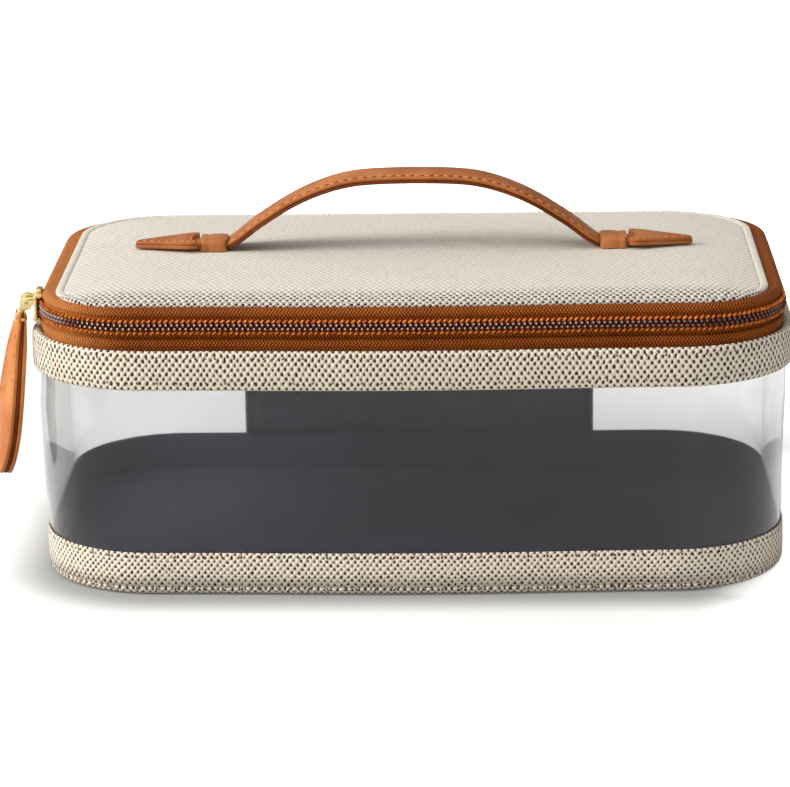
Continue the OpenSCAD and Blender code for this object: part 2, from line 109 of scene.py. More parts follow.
BASE_TOP = heights("base_band")[1]
BAND_LOW, BAND_TOP = heights("top_band")
VINYL_LOW, VINYL_TOP = heights("window_wrap")
FLOOR_Z = heights("floor_lining")[0]
ZIP_MID = (heights("zip_tape_lower")[1] + heights("zip_tape_upper")[0]) / 2
LID_EDGE_LOW, LID_TOP = heights("lid_canvas")
STRAP_LOW, STRAP_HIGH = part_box("handle_strap_lower")
print("zip at", round(ZIP_MID / MM, 2), "mm, lid top at", round(LID_TOP / MM, 2), "mm")

# %% [markdown]
# ## Walking a section round the case
#
# Most of this case is a strip that goes once round it. The honest way to make one is the way
# that a sewing machine does: start with the strip's cross-section and walk it along straight
# runs and round corners. Each step extrudes the section's edges and then moves or turns the
# new copy. Two numbers ride on every vertex: how far round it is, and how far up the cloth.
# They become the UV map, in metres, so a weave keeps its true size round a corner.

# %% Small tools for numbers and rings
def in_mm(points, base=0.0):
    """Section points (out, z) given in millimetres, turned into metres above a base height."""
    return [(out * MM, base + z * MM) for out, z in points]


def ease(value, low, high):
    """0 up to low, 1 from high on, and a smooth rise between them."""
    t = min(1.0, max(0.0, (value - low) / (high - low)))
    return t * t * (3 - 2 * t)


def arc(centre, radius, start, end, steps):
    """Points of an arc in a section, in degrees."""
    angles = [math.radians(start + (end - start) * k / steps) for k in range(steps + 1)]
    return [(centre[0] + radius * math.cos(a), centre[1] + radius * math.sin(a)) for a in angles]


def closed_ring(bm, points):
    """Vertices at the points, and the edges that join them into a closed ring."""
    verts = [bm.verts.new(point) for point in points]
    return verts, [bm.edges.new(pair) for pair in zip(verts, verts[1:] + verts[:1])]


def grow(bm, ring):
    """Extrudes a ring of edges in place: the new vertices, and the new ring."""
    made = bmesh.ops.extrude_edge_only(bm, edges=ring)["geom"]
    verts = [g for g in made if isinstance(g, bmesh.types.BMVert)]
    new = set(verts)
    return verts, [g for g in made if isinstance(g, bmesh.types.BMEdge) and new.issuperset(g.verts)]


def fill(bm, *loops):
    """Closes each loop of vertices or edges with one face."""
    for loop in loops:
        bmesh.ops.contextual_create(bm, geom=loop)


def round_edges(bm, edges, offset, segments=3):
    bmesh.ops.bevel(bm, geom=edges, offset=offset, segments=segments, profile=0.5, affect="EDGES", material=-1)


def map_cloth(bm, flat):
    """Gives every corner its place on the flat cloth, in metres."""
    uv = bm.loops.layers.uv.new("cloth")
    for face in bm.faces:
        for loop in face.loops:
            loop[uv].uv = flat(loop.vert)


# %% Moves, and the walk that follows them
def way_round(plan, rear_half=0.0, step=6 * MM, turns=12):
    """The moves from the rear's middle, down the left side, along the front and back."""
    width, depth, radius = plan
    x, y = width / 2 - radius, depth / 2 - radius
    quarter = math.pi / 2

    def go(dx, dy):
        return ("go", Vector((dx, dy, 0)), 0.0, max(1, round(math.hypot(dx, dy) / step)))

    def turn(x, y):
        return ("turn", Vector((x, y, 0)), quarter, turns)

    start = ("go", Vector((-rear_half, 0, 0)), 0.0, 0)
    back = go(-(x - rear_half), 0)
    left = [turn(-x, y), go(0, -2 * y), turn(-x, -y)]
    right = [turn(x, -y), go(0, 2 * y), turn(x, y)]
    return [start, back, *left, go(2 * x, 0), *right, back]


def walk(bm, ring, moves, radius=0.0):
    """Extrudes the ring of edges along the moves; 0 steps carries it without making faces."""
    so_far = bm.verts.layers.float["round"]
    distance = 0.0
    for kind, amount, angle, steps in moves:
        parts = max(1, steps)
        for _ in range(parts):
            if steps:
                verts, ring = grow(bm, ring)
            else:
                verts = list({v for e in ring for v in e.verts})
            if kind == "go":
                bmesh.ops.translate(bm, verts=verts, vec=amount / parts)
                distance += amount.length / parts
            else:
                matrix = Matrix.Rotation(angle / parts, 3, "Z")
                bmesh.ops.rotate(bm, verts=verts, cent=amount, matrix=matrix)
                distance += angle / parts * radius
            for v in verts:
                v[so_far] = distance
    return ring


def ridden(bm):
    """Reads a vertex's two ridden numbers: its place on the flat cloth."""
    so_far, up = bm.verts.layers.float["round"], bm.verts.layers.float["up"]
    return lambda v: (v[so_far], v[up])


def start_section(points, place, closed=False):
    """A new bmesh that holds only the cross-section; place puts a point (out, z) in space."""
    bm = bmesh.new()
    up = bm.verts.layers.float.new("up")
    bm.verts.layers.float.new("round")
    verts, distance, last = [], 0.0, points[0]
    for out, z in points:
        vert = bm.verts.new(place(out, z))
        distance += math.dist(last, (out, z))
        vert[up], last = distance, (out, z)
        verts.append(vert)
    pairs = list(zip(verts, verts[1:])) + ([(verts[-1], verts[0])] if closed else [])
    return bm, [bm.edges.new(pair) for pair in pairs]


def strip_round(section, plan, closed=False, **how):
    """A strip with this section of (out, z) points, walked round the plan."""
    bm, ring = start_section(section, lambda out, z: (0, plan[1] / 2 + out, z), closed)
    walk(bm, ring, way_round(plan, **how), plan[2])
    map_cloth(bm, ridden(bm))
    bmesh.ops.remove_doubles(bm, verts=bm.verts[:], dist=0.01 * MM)
    return bm


# %% [markdown]
# A long soft front never stays dead straight: it bows out at its middle, and the two ends
# lean in a little toward the base. One function gives both, and every soft piece goes
# through it, so the layers stay on each other.

# %% The bow of the soft front
def bow(bm):
    for v in bm.verts:
        swell = -0.2 * MM + 1.2 * MM * math.cos(math.pi * min(1.0, abs(v.co.x) / (95 * MM)))
        v.co.y -= ease(-v.co.y, -10 * MM, 30 * MM) * swell
        v.co.x *= 1 - 0.0095 * min(1.0, max(0.0, (72 * MM - v.co.z) / (60 * MM)))


def piece(name, bm, body, material, stands_for=(), bowed=True, flip=True, sharp=35):
    """Turns a bmesh into a finished object that rides on a body."""
    if bowed:
        bow(bm)
    if flip:
        bmesh.ops.recalc_face_normals(bm, faces=bm.faces[:])
    mesh = bpy.data.meshes.new(name)
    bm.to_mesh(mesh)
    bm.free()
    for polygon in mesh.polygons:
        polygon.use_smooth = True
    mesh.set_sharp_from_angle(angle=math.radians(sharp))
    mesh.materials.append(material)
    obj = bpy.data.objects.new(name, mesh)
    add_to_scene(obj)
    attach(obj, body)
    if stands_for:
        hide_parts(*stands_for)
    print(name, len(mesh.polygons), "faces")
    return obj


def thicken(obj, thickness):
    """Gives a cloth its thickness, inward from the face that was modelled."""
    solid = obj.modifiers.new("thickness", "SOLIDIFY")
    solid.thickness, solid.offset, solid.use_even_offset = thickness, -1.0, True
    return obj


def round_point(distance, plan):
    """The place on a plan that is this far round from the rear's middle, and its outward angle."""
    radius = plan[2]
    place, facing = Vector((0, plan[1] / 2, 0)), math.pi / 2
    for kind, amount, angle, _ in way_round(plan):
        length = amount.length if kind == "go" else angle * radius
        share = min(1.0, distance / max(length, 1e-9))
        if kind == "go":
            place = place + amount * share
        else:
            facing += angle * share
            place = amount + radius * Vector((math.cos(facing), math.sin(facing), 0))
        if share < 1.0:
            break
        distance -= length
    return place, facing


def length_round(plan):
    width, depth, radius = plan
    return 2 * (width + depth) - 8 * radius + 2 * math.pi * radius


# %% [markdown]
# ## Colours and shader helpers
#
# A colour is easiest to read as the three numbers of a paint chart, 0 to 255. The shader
# wants them without the screen's curve, so one small function converts them.

# %% Shader helpers
def paint(r, g, b):
    def straight(c):
        c /= 255
        return c / 12.92 if c <= 0.04045 else ((c + 0.055) / 1.055) ** 2.4
    return (straight(r), straight(g), straight(b), 1.0)


class Wires:
    """Adds nodes to a tree; a link or a plain value can be given for any input."""

    def __init__(self, tree):
        self.tree = tree

    def feed(self, node, inputs):
        for key, value in inputs.items():
            if isinstance(value, bpy.types.NodeSocket):
                self.tree.links.new(value, node.inputs[key])
            else:
                node.inputs[key].default_value = value
        return node

    def add(self, kind, inputs=None, **settings):
        node = self.tree.nodes.new(kind)
        for key, value in settings.items():
            setattr(node, key, value)
        return self.feed(node, inputs or {})

    def math(self, operation, a, b=0.0):
        return self.add("ShaderNodeMath", {0: a, 1: b}, operation=operation).outputs[0]

    def plus(self, a, b):
        return self.math("ADD", a, b)

    def minus(self, a, b):
        return self.math("SUBTRACT", a, b)

    def times(self, a, b):
        return self.math("MULTIPLY", a, b)

    def over(self, a, b):
        return self.math("DIVIDE", a, b)

    def less(self, value, by, share):
        """The value, lessened by a share of another one that runs from 0 to 1."""
        return self.times(value, self.minus(1.0, self.times(by, share)))

    def vector(self, operation, a, b=(0, 0, 0), out=0):
        return self.add("ShaderNodeVectorMath", {0: a, 1: b}, operation=operation).outputs[out]

    def split(self, vector):
        return self.add("ShaderNodeSeparateXYZ", {0: vector}).outputs

    def place(self):
        return self.add("ShaderNodeTexCoord").outputs["Object"]

    def cloth_place(self):
        return self.add("ShaderNodeUVMap", uv_map="cloth").outputs[0]

    def noise(self, place, scale, detail, out=0, **more):
        inputs = {"Vector": place, "Scale": scale, "Detail": detail, **more}
        return self.add("ShaderNodeTexNoise", inputs).outputs[out]

    def ramp(self, value, low, high, to_low=0.0, to_high=1.0):
        inputs = {0: value, 1: low, 2: high, 3: to_low, 4: to_high}
        return self.add("ShaderNodeMapRange", inputs, interpolation_type="SMOOTHSTEP").outputs[0]

    def mix(self, factor, a, b):
        return self.add("ShaderNodeMix", {0: factor, 6: a, 7: b}, data_type="RGBA").outputs[2]

    def bump(self, height, distance, strength=1.0):
        inputs = {"Height": height, "Distance": distance, "Strength": strength}
        return self.add("ShaderNodeBump", inputs).outputs[0]

    def surface(self, shader):
        self.feed(self.tree.nodes["Material Output"], {"Surface": shader.outputs[0]})


def new_group(name, numbers, outputs):
    """A shader node group with a place, named numbers and named outputs."""
    tree = bpy.data.node_groups.new(name, "ShaderNodeTree")
    tree.interface.new_socket("Place", in_out="INPUT", socket_type="NodeSocketVector")
    for label, value in numbers.items():
        socket = tree.interface.new_socket(label, in_out="INPUT", socket_type="NodeSocketFloat")
        socket.default_value = value
    for label in outputs:
        tree.interface.new_socket(label, in_out="OUTPUT", socket_type="NodeSocketFloat")
    wires = Wires(tree)
    return tree, wires, wires.add("NodeGroupInput").outputs, wires.add("NodeGroupOutput")


def new_material(name):
    material = bpy.data.materials.new(name)
    material.use_nodes = True
    return material, Wires(material.node_tree), material.node_tree.nodes["Principled BSDF"]


# %% [markdown]
# ## Canvas
#
# The canvas is woven from fat cream threads that bulge like beads, over a dark thread that
# shows as small dots in the gaps. A product of two cosines has exactly that layout: its
# peaks sit in staggered rows. The peaks become the dots and the hollows become the beads.
# Noise bends the rows a little and makes some dots larger, as on hand-loomed cloth.

# %% The beaded weave, as a group
weave_group, w, inside, out = new_group(
    "beaded_weave", {"Across": 2.3 * MM, "Up": 3.3 * MM, "Dot size": 0.5}, ["Dots", "Beads", "Tone"]
)
UNEVEN = 1.6 * MM
drift = w.vector("SUBTRACT", w.noise(inside["Place"], 130.0, 1.0, out="Color"), (0.5, 0.5, 0.5))
drift = w.add("ShaderNodeVectorMath", {0: drift, "Scale": UNEVEN}, operation="SCALE").outputs[0]
xyz = w.split(w.vector("ADD", inside["Place"], drift))
wave_u = w.math("COSINE", w.times(w.over(xyz[0], inside["Across"]), 2 * math.pi))
wave_v = w.math("COSINE", w.times(w.over(xyz[1], inside["Up"]), 2 * math.pi))
lattice = w.times(wave_u, wave_v)
grit = w.noise(inside["Place"], 340.0, 2.0)
level = w.plus(lattice, w.times(w.minus(grit, 0.5), 1.5))
edge = w.minus(1.0, inside["Dot size"])
w.feed(out, {
    "Dots": w.ramp(level, edge, w.plus(edge, 0.22)),
    "Beads": w.ramp(lattice, 0.75, -0.9),
    "Tone": w.noise(inside["Place"], 22.0, 3.0),
})

# %% [markdown]
# The bands are top-stitched near each edge. On this cloth the needle opens the weave, so
# the seam shows as a row of larger dark marks that lean one way or the other.

# %% The needle marks, as a group
seam_group, w, inside, out = new_group(
    "needle_marks", {"Height": 3 * MM, "Pitch": 3.3 * MM, "Reach": 0.75 * MM}, ["Marks"]
)
xyz = w.split(inside["Place"])
rise = w.minus(xyz[1], inside["Height"])
count = w.over(xyz[0], inside["Pitch"])
chance = w.add("ShaderNodeTexWhiteNoise", {"W": w.math("FLOOR", count)}, noise_dimensions="1D").outputs[0]
lean = w.times(w.minus(chance, 0.5), 2.0)
side = w.plus(count, w.times(w.times(rise, lean), 300.0))
side = w.times(w.minus(w.math("FRACT", side), 0.5), inside["Pitch"])
far = w.math("SQRT", w.plus(w.times(w.times(side, side), 2.6), w.times(rise, rise)))
w.feed(out, {"Marks": w.ramp(w.over(far, inside["Reach"]), 1.15, 0.7)})

# %% [markdown]
# On the lid the dots show only along the front edge. Behind it they fade out, and the
# threads show as long soft slubs.

# %% Canvas materials
DARK_THREAD = paint(68, 22, 9)
PLAIN_FROM = -66 * MM


def canvas_material(
    name, cream, shadow, up=3.3 * MM, dot_size=0.6, strength=1.0, seams=(), reach=0.75 * MM, plain=False
):
    material, wires, shader = new_material(name)
    place = wires.cloth_place()
    weave = wires.add("ShaderNodeGroup", {0: place, "Up": up, "Dot size": dot_size}, node_tree=weave_group).outputs
    shade, dark = wires.ramp(weave["Beads"], 0.0, 0.8), wires.times(weave["Dots"], strength)
    if plain:
        fade = wires.ramp(wires.split(place)[1], PLAIN_FROM, PLAIN_FROM + 13 * MM)
        shade = wires.plus(wires.less(shade, fade, 0.55), wires.times(fade, 0.42))
        dark = wires.less(dark, fade, 0.9)
    thread = wires.mix(shade, shadow, cream)
    thread = wires.mix(wires.ramp(weave["Tone"], 0.3, 0.7, 0.0, 0.16), thread, shadow)
    if plain:
        slub = wires.add("ShaderNodeMapping", {"Vector": place, "Scale": (620.0, 90.0, 1.0)}).outputs[0]
        slub = wires.ramp(wires.noise(slub, 1.0, 3.0), 0.42, 0.72, 0.0, 0.35)
        thread = wires.mix(slub, thread, shadow)
    for height in seams:
        seam = {0: place, "Height": height, "Reach": reach}
        marks = wires.add("ShaderNodeGroup", seam, node_tree=seam_group).outputs["Marks"]
        dark = wires.math("MAXIMUM", dark, marks)
    height = wires.minus(weave["Beads"], wires.times(dark, 0.7))
    wires.feed(shader, {
        "Base Color": wires.mix(dark, thread, DARK_THREAD),
        "Roughness": 0.85,
        "Sheen Weight": 0.15,
        "Normal": wires.bump(wires.less(height, fade, 0.7) if plain else height, 0.45 * MM),
    })
    return material


CREAM = (paint(243, 234, 215), paint(203, 185, 156))
# The base's cream is the band's cream painted lighter: a painted light on the base band.
CREAM_PAINTED_LIGHTER = (paint(254, 245, 228), paint(228, 208, 178))
PALE = (paint(226, 220, 208), paint(196, 185, 168))
canvas_base = canvas_material("canvas_base", *CREAM_PAINTED_LIGHTER, 2.7 * MM, 0.55, seams=(10.9 * MM,), reach=0.64 * MM)
canvas_band = canvas_material("canvas_band", *CREAM, seams=(5.3 * MM, 13.9 * MM), reach=0.52 * MM)
canvas_rear = canvas_material("canvas_rear", *CREAM, strength=0.95)
canvas_lid = canvas_material("canvas_lid", *PALE, 4.2 * MM, 0.7, plain=True)
canvas_edge = canvas_material("canvas_edge", *PALE, 2.8 * MM, 0.74, plain=True)
print("canvas materials ready")

# %% [markdown]
# ## Leather
#
# Smooth tan leather has a fine pebbled grain, a slow change of tone where it has been
# handled, and a soft shine. Small Voronoi cells are the pebbles, and noise gives the tone.

# %% The leather grain, as a group
grain_group, w, inside, out = new_group("leather_grain", {"Size": 1.1 * MM}, ["Grain", "Tone"])
cells = {"Vector": inside["Place"], "Scale": w.over(1.0, inside["Size"])}
cells = w.add("ShaderNodeTexVoronoi", cells, feature="SMOOTH_F1").outputs["Distance"]
fine = w.noise(inside["Place"], 1900.0, 2.0)
w.feed(out, {
    "Grain": w.plus(w.times(cells, -0.8), w.times(fine, 0.35)),
    "Tone": w.noise(inside["Place"], 38.0, 4.0, Roughness=0.6),
})


def leather_material(name, light, dark, roughness=0.42, shine=0.35):
    material, wires, shader = new_material(name)
    grain = wires.add("ShaderNodeGroup", {0: wires.place()}, node_tree=grain_group).outputs
    colour = wires.mix(wires.ramp(grain["Tone"], 0.32, 0.68), dark, light)
    wires.feed(shader, {
        "Base Color": wires.mix(wires.ramp(grain["Grain"], -0.5, -0.15, 0.22, 0.0), colour, dark),
        "Roughness": wires.ramp(grain["Tone"], 0.3, 0.7, roughness + 0.08, roughness - 0.06),
        "Specular IOR Level": shine,
        "Normal": wires.bump(grain["Grain"], 0.10 * MM),
    })
    return material


leather = leather_material("tan_leather", paint(192, 118, 57), paint(158, 87, 34))
# Dark edge leather: the leathers' dark edges, and also a painted shade in the handle's sewn groove.
edge_leather_and_groove_shade = leather_material("edge_leather_and_groove_shade", paint(136, 64, 20), paint(96, 42, 10), 0.5, 0.15)
# The pull's leather is the tan leather painted lighter: a painted light for the pull, which hangs where the light falls
# from the left.
lit_pull_leather = leather_material("pull_leather", paint(216, 138, 68), paint(184, 104, 42))
print("leather ready")

# %% [markdown]
# ## Zip tape, teeth and thread
#
# The tape is a herringbone: slanted ribs that change direction with every few rows. A
# zigzag added to the distance along the tape, before the sine, is all that it takes. The
# left side of the tape is painted lighter, a painted light for the light from the left.

# %% Zip materials
rib_group, w, inside, out = new_group("herringbone", {"Pitch": 1.2 * MM, "Row": 2.1 * MM}, ["Rib", "Tone"])
xyz = w.split(inside["Place"])
zigzag = w.math("PINGPONG", xyz[1], w.times(inside["Row"], 0.5))
rib = w.math("SINE", w.times(w.over(w.plus(xyz[0], zigzag), inside["Pitch"]), 2 * math.pi))
crossing = w.math("SINE", w.times(w.over(xyz[1], inside["Pitch"]), 4 * math.pi))
w.feed(out, {
    "Rib": w.plus(w.times(rib, 0.72), w.times(crossing, 0.28)),
    "Tone": w.noise(inside["Place"], 60.0, 3.0),
})


def tape_material(name, light, dark, painted_lit_colour):
    material, wires, shader = new_material(name)
    ribs = wires.add("ShaderNodeGroup", {0: wires.cloth_place()}, node_tree=rib_group).outputs
    # Painted light: towards the left end the colours are mixed toward a lighter one, for the light from the left.
    painted_left_light = wires.ramp(wires.split(wires.place())[0], -95 * MM, -124 * MM)
    low = wires.mix(wires.times(painted_left_light, 0.3), dark, painted_lit_colour)
    high = wires.mix(wires.times(painted_left_light, 0.8), light, painted_lit_colour)
    colour = wires.mix(wires.ramp(ribs["Rib"], -0.55, 0.7), low, high)
    wires.feed(shader, {
        "Base Color": wires.mix(wires.ramp(ribs["Tone"], 0.35, 0.7, 0.0, 0.25), colour, low),
        "Roughness": 0.6,
        "Specular IOR Level": 0.15,
        "Normal": wires.bump(ribs["Rib"], 0.22 * MM),
    })
    return material


def smooth_material(name, light, dark, roughness, scale=300.0, relief=0.03 * MM, glint=None, **finish):
    """A plain finish that still varies a little; a painted glint lightens the part that faces the viewer."""
    material, wires, shader = new_material(name)
    place = wires.place()
    cloud = wires.noise(place, scale, 3.0)
    colour = wires.mix(wires.ramp(cloud, 0.35, 0.65), light, dark)
    if glint is not None:
        # Painted highlight: the glint colour is mixed in where the surface faces the viewer, less towards the right
        # end.
        facing = wires.add("ShaderNodeLayerWeight", {"Blend": 0.5}).outputs["Facing"]
        fade = wires.ramp(wires.split(place)[0], 50 * MM, 105 * MM, 1.0, 0.2)
        colour = wires.mix(wires.times(wires.ramp(facing, 0.12, 0.03), fade), colour, glint)
    wires.feed(shader, {
        "Base Color": colour,
        "Roughness": wires.ramp(cloud, 0.3, 0.7, roughness * 0.85, roughness * 1.15),
        "Normal": wires.bump(cloud, relief),
        **finish,
    })
    return material


zip_tape = tape_material("zip_tape", paint(199, 105, 23), paint(80, 30, 4), paint(236, 150, 78))
teeth_nylon = smooth_material("teeth_nylon", paint(96, 26, 10), paint(54, 12, 5), 0.3, glint=paint(222, 204, 188))
zip_cord = smooth_material(
    "zip_cord", paint(236, 136, 38), paint(166, 72, 12), 0.45, 900.0, **{"Specular IOR Level": 0.2}
)
thread = smooth_material("stitch_thread", paint(212, 130, 66), paint(180, 98, 42), 0.45, 1500.0)
gold = smooth_material("pale_gold", paint(246, 226, 164), paint(228, 200, 128), 0.2, 90.0, 0.01 * MM, Metallic=0.75)
card = smooth_material("grey_card", paint(190, 176, 150), paint(170, 156, 130), 0.9, 500.0)
foam = smooth_material("white_foam", paint(242, 239, 230), paint(224, 220, 208), 0.95, 1400.0, 0.2 * MM)
binding = smooth_material("panel_binding", paint(104, 76, 66), paint(76, 54, 48), 0.6, 700.0)
print("zip, metal and hidden materials ready")

# %% [markdown]
# ## Charcoal lining
#
# A closely woven polyester: almost flat, with a very fine grain and a faint bloom where the
# light rakes it. The bloom is the shader's own sheen.

# %% Lining material
lining, wires, shader = new_material("charcoal_lining")
place = wires.place()
weft = wires.noise(place, 1500.0, 2.0)
colour = wires.mix(wires.ramp(wires.noise(place, 14.0, 3.0), 0.3, 0.7), paint(45, 40, 58), paint(53, 48, 69))
wires.feed(shader, {
    "Base Color": wires.mix(wires.ramp(weft, 0.4, 0.62, 0.0, 0.12), colour, paint(34, 31, 40)),
    "Roughness": 0.8,
    "Specular IOR Level": 0.12,
    "Sheen Weight": 0.02,
    "Normal": wires.bump(weft, 0.012 * MM),
})

# %% [markdown]
# ## Clear vinyl
#
# Soft vinyl is a thin, slightly grey sheet with an uneven surface. It is modelled as a real
# sheet with two faces, so the light bends in and out again. Its shadow is let through with
# the Light Path node, because a renderer otherwise treats clear plastic as an opaque
# blocker when it looks for the lamps.

# %% Vinyl material
vinyl, wires, shader = new_material("clear_vinyl")
place = wires.place()
facing = wires.add("ShaderNodeLayerWeight", {"Blend": 0.5}).outputs["Facing"]
cloud = wires.ramp(wires.noise(place, 17.0, 1.0, Distortion=1.2), 0.48, 0.56)
clear = wires.mix(cloud, (0.815, 0.82, 0.82, 1), (0.84, 0.845, 0.845, 1))
# Painted shade: where the sheet is seen edge-on it is tinted darker grey, for the dark it reflects at its bends, darker
# on the left than on the right.
side = wires.ramp(wires.split(place)[0], -0.1, 0.1)
edge = wires.mix(side, (0.5, 0.5, 0.52, 1), (0.92, 0.92, 0.93, 1))
wires.feed(shader, {
    "Base Color": wires.mix(wires.ramp(facing, 0.7, 0.95), clear, edge),
    "Roughness": 0.04,
    "Transmission Weight": 1.0,
    "IOR": 1.36,
    "Normal": wires.bump(wires.noise(place, 26.0, 2.0), 0.5 * MM, 0.35),
})
shadow_ray = wires.add("ShaderNodeLightPath").outputs["Is Shadow Ray"]
passing = wires.add("ShaderNodeBsdfTransparent", {"Color": (0.9, 0.905, 0.91, 1)}).outputs[0]
wires.surface(wires.add("ShaderNodeMixShader", {0: shadow_ray, 1: shader.outputs[0], 2: passing}))
print("vinyl ready")

# %% [markdown]
# ## Base tray
#
# The bottom is one canvas sheet over a board, turned up round the edge and sewn to the base
# band. The turned edge is a quarter circle walked round the plan, and the flat middle is
# the hole in that ring, closed with one face.

# %% Base canvas
EDGE_R = 2.8 * MM


def rim_at(bm, z):
    """The open edges that lie at one height."""
    return [e for e in bm.edges if e.is_boundary and all(abs(v.co.z - z) < 0.01 * MM for v in e.verts)]


bm = strip_round([(-9 * MM, 0.0)] + arc((CANVAS_T - EDGE_R, EDGE_R), EDGE_R, -90, 0, 6), WALL_PLAN)
fill(bm, rim_at(bm, 0.0))
cloth = bm.loops.layers.uv["cloth"]
for face in bm.faces:
    if len(face.verts) > 8:
        for loop in face.loops:
            loop[cloth].uv = loop.vert.co.xy
base_bottom = piece("base_bottom_cloth", bm, "case", canvas_base, ["base_bottom_canvas"])
thicken(base_bottom, CANVAS_T)

# %% [markdown]
# The base band's upper edge is folded, so its section starts behind the vinyl, turns over a
# small radius at the top and runs down the outside.

# %% Base band
FOLD_R = 0.4 * MM
section = [(CANVAS_T, EDGE_R), (CANVAS_T + 0.15 * MM, BASE_TOP * 0.5), (CANVAS_T, BASE_TOP - FOLD_R)]
section += arc((CANVAS_T - FOLD_R, BASE_TOP - FOLD_R), FOLD_R, 20, 90, 3)
bm = strip_round(section, WALL_PLAN)
base_band = piece("base_band_cloth", bm, "case", canvas_base, ["base_band"])
thicken(base_band, CANVAS_T - 0.05 * MM)

# %% Linings of the tray
FLOOR_TOP = FLOOR_Z + LINING_T
section = [(-VINYL_T - 3 * MM, FLOOR_TOP)] + arc((-VINYL_T - 1.5 * MM, FLOOR_Z + 2 * MM), 1.5 * MM, -90, 0, 4)
bm = strip_round(section + [(-VINYL_T, BASE_TOP + 0.5 * MM)], WALL_PLAN)
tray_wall = piece("tray_wall_lining", bm, "case", lining, ["base_wall_lining"])
thicken(tray_wall, LINING_T)

bm = strip_round([(-VINYL_T - 2.6 * MM, z) for z in (FLOOR_Z, FLOOR_TOP)], WALL_PLAN)
fill(bm, rim_at(bm, FLOOR_Z), rim_at(bm, FLOOR_TOP))
floor_cloth = piece("floor_cloth", bm, "case", lining, ["floor_lining"], sharp=30)

# %% [markdown]
# ## The clear wall
#
# One sheet of vinyl runs from the rear panel's left edge round the front to its right edge.
# Held only at its top and bottom, it ripples a little between them, so noise pushes it in
# and out by up to a millimetre or so, fading to nothing where the bands hold it.

# %% The vinyl sheet
WINDOW_ROWS = 22
REAR_HALF = 60 * MM
section = [(0.0, VINYL_LOW + (VINYL_TOP - VINYL_LOW) * k / WINDOW_ROWS) for k in range(WINDOW_ROWS + 1)]
bm = strip_round(section, WALL_PLAN, rear_half=REAR_HALF, step=5 * MM, turns=16)
bmesh.ops.recalc_face_normals(bm, faces=bm.faces[:])
bm.normal_update()
for v in bm.verts:
    free = min(1.0, max(0.0, min(v.co.z - BASE_TOP, BAND_LOW - v.co.z)) / (12 * MM))
    swell = noise.noise(Vector((v.co.x * 9, v.co.y * 9, v.co.z * 14))) + 0.45
    v.co += v.normal * (1.0 * MM * swell * free * free)
vinyl_wall = piece("vinyl_wall", bm, "case", vinyl, ["window_wrap"])
thicken(vinyl_wall, VINYL_T)

# %% [markdown]
# ## The closed rear panel
#
# Between the ends of the vinyl the rear is closed: canvas outside, a board, and lining
# inside, with a narrow bound edge. Each cloth is a flat grid, stood upright.

# %% Rear panel pieces
PANEL_HALF = 65 * MM
WALL_BACK = WALL_PLAN[1] / 2


def flat_panel(name, low_z, y, thickness, material, node, turned):
    """An upright rectangle of cloth, with its UV map in metres."""
    high_z = BAND_LOW + 0.4 * MM
    bm = bmesh.new()
    bmesh.ops.create_grid(bm, x_segments=24, y_segments=10, size=0.5)
    bmesh.ops.scale(bm, vec=(2 * PANEL_HALF, high_z - low_z, 1), verts=bm.verts[:])
    map_cloth(bm, lambda v: v.co.xy)
    bmesh.ops.rotate(bm, cent=(0, 0, 0), matrix=Matrix.Rotation(math.pi / 2, 3, "X"), verts=bm.verts[:])
    bmesh.ops.rotate(bm, cent=(0, 0, 0), matrix=Matrix.Rotation(turned, 3, "Z"), verts=bm.verts[:])
    bmesh.ops.translate(bm, vec=(0, y, (low_z + high_z) / 2), verts=bm.verts[:])
    return thicken(piece(name, bm, "case", material, [node], bowed=False, flip=False), thickness)


rear_cloth = flat_panel(
    "rear_panel_cloth", BASE_TOP - 0.2 * MM, WALL_BACK + CANVAS_T, CANVAS_T,
    canvas_rear, "back_panel_canvas", math.pi,
)
rear_lining = flat_panel(
    "rear_panel_lining", BASE_TOP, WALL_BACK - VINYL_T - LINING_T, LINING_T,
    lining, "back_panel_lining", 0.0,
)


def block(bm, centre, size):
    """A plain block, to be rounded or joined to others."""
    verts = bmesh.ops.create_cube(bm, size=1.0)["verts"]
    bmesh.ops.scale(bm, vec=size, verts=verts)
    bmesh.ops.translate(bm, vec=centre, verts=verts)
    return verts


bm = bmesh.new()
for side in (-1, 1):
    centre = (side * (PANEL_HALF + 0.45 * MM), WALL_BACK - VINYL_T - 0.75 * MM, (BAND_LOW + BASE_TOP) / 2 + 0.2 * MM)
    block(bm, centre, (1.1 * MM, 1.5 * MM, BAND_LOW - BASE_TOP))
upright = [e for e in bm.edges if abs(e.verts[0].co.z - e.verts[1].co.z) > 10 * MM]
round_edges(bm, upright, 0.4 * MM)
piece("rear_panel_binding", bm, "case", binding, ["back_panel_binding"], bowed=False)

# %% [markdown]
# ## The padded top band
#
# Canvas is wrapped round a soft core, so the band is a closed ring with a swollen face. Its
# section goes up the outside, over the ledge, down behind the zip tape and back underneath.

# %% Top band
low, high, proud, turn_r = BAND_LOW, BAND_TOP - 0.7 * MM, 2.5 * MM, 1.7 * MM
section = in_mm([(-0.5, 0.3), (0.4, 0.0)], low) + arc((proud - turn_r, low + turn_r), turn_r, -80, -8, 4)
section += [(proud + 0.12 * MM, low + share * (high - low)) for share in (0.38, 0.62)]
section += arc((proud - turn_r, high - turn_r), turn_r, 8, 76, 4) + in_mm([(-0.3, -0.7), (-1.0, -1.5)], high)
section += in_mm([(-1.2, -2.7), (-0.6, -4.3)], BAND_TOP) + in_mm([(-0.5, 3.0)], low)
bm = strip_round(section, WALL_PLAN, closed=True, turns=14)
top_band = piece("top_band_cloth", bm, "case", canvas_band, ["top_band", "top_band_core"], sharp=50)

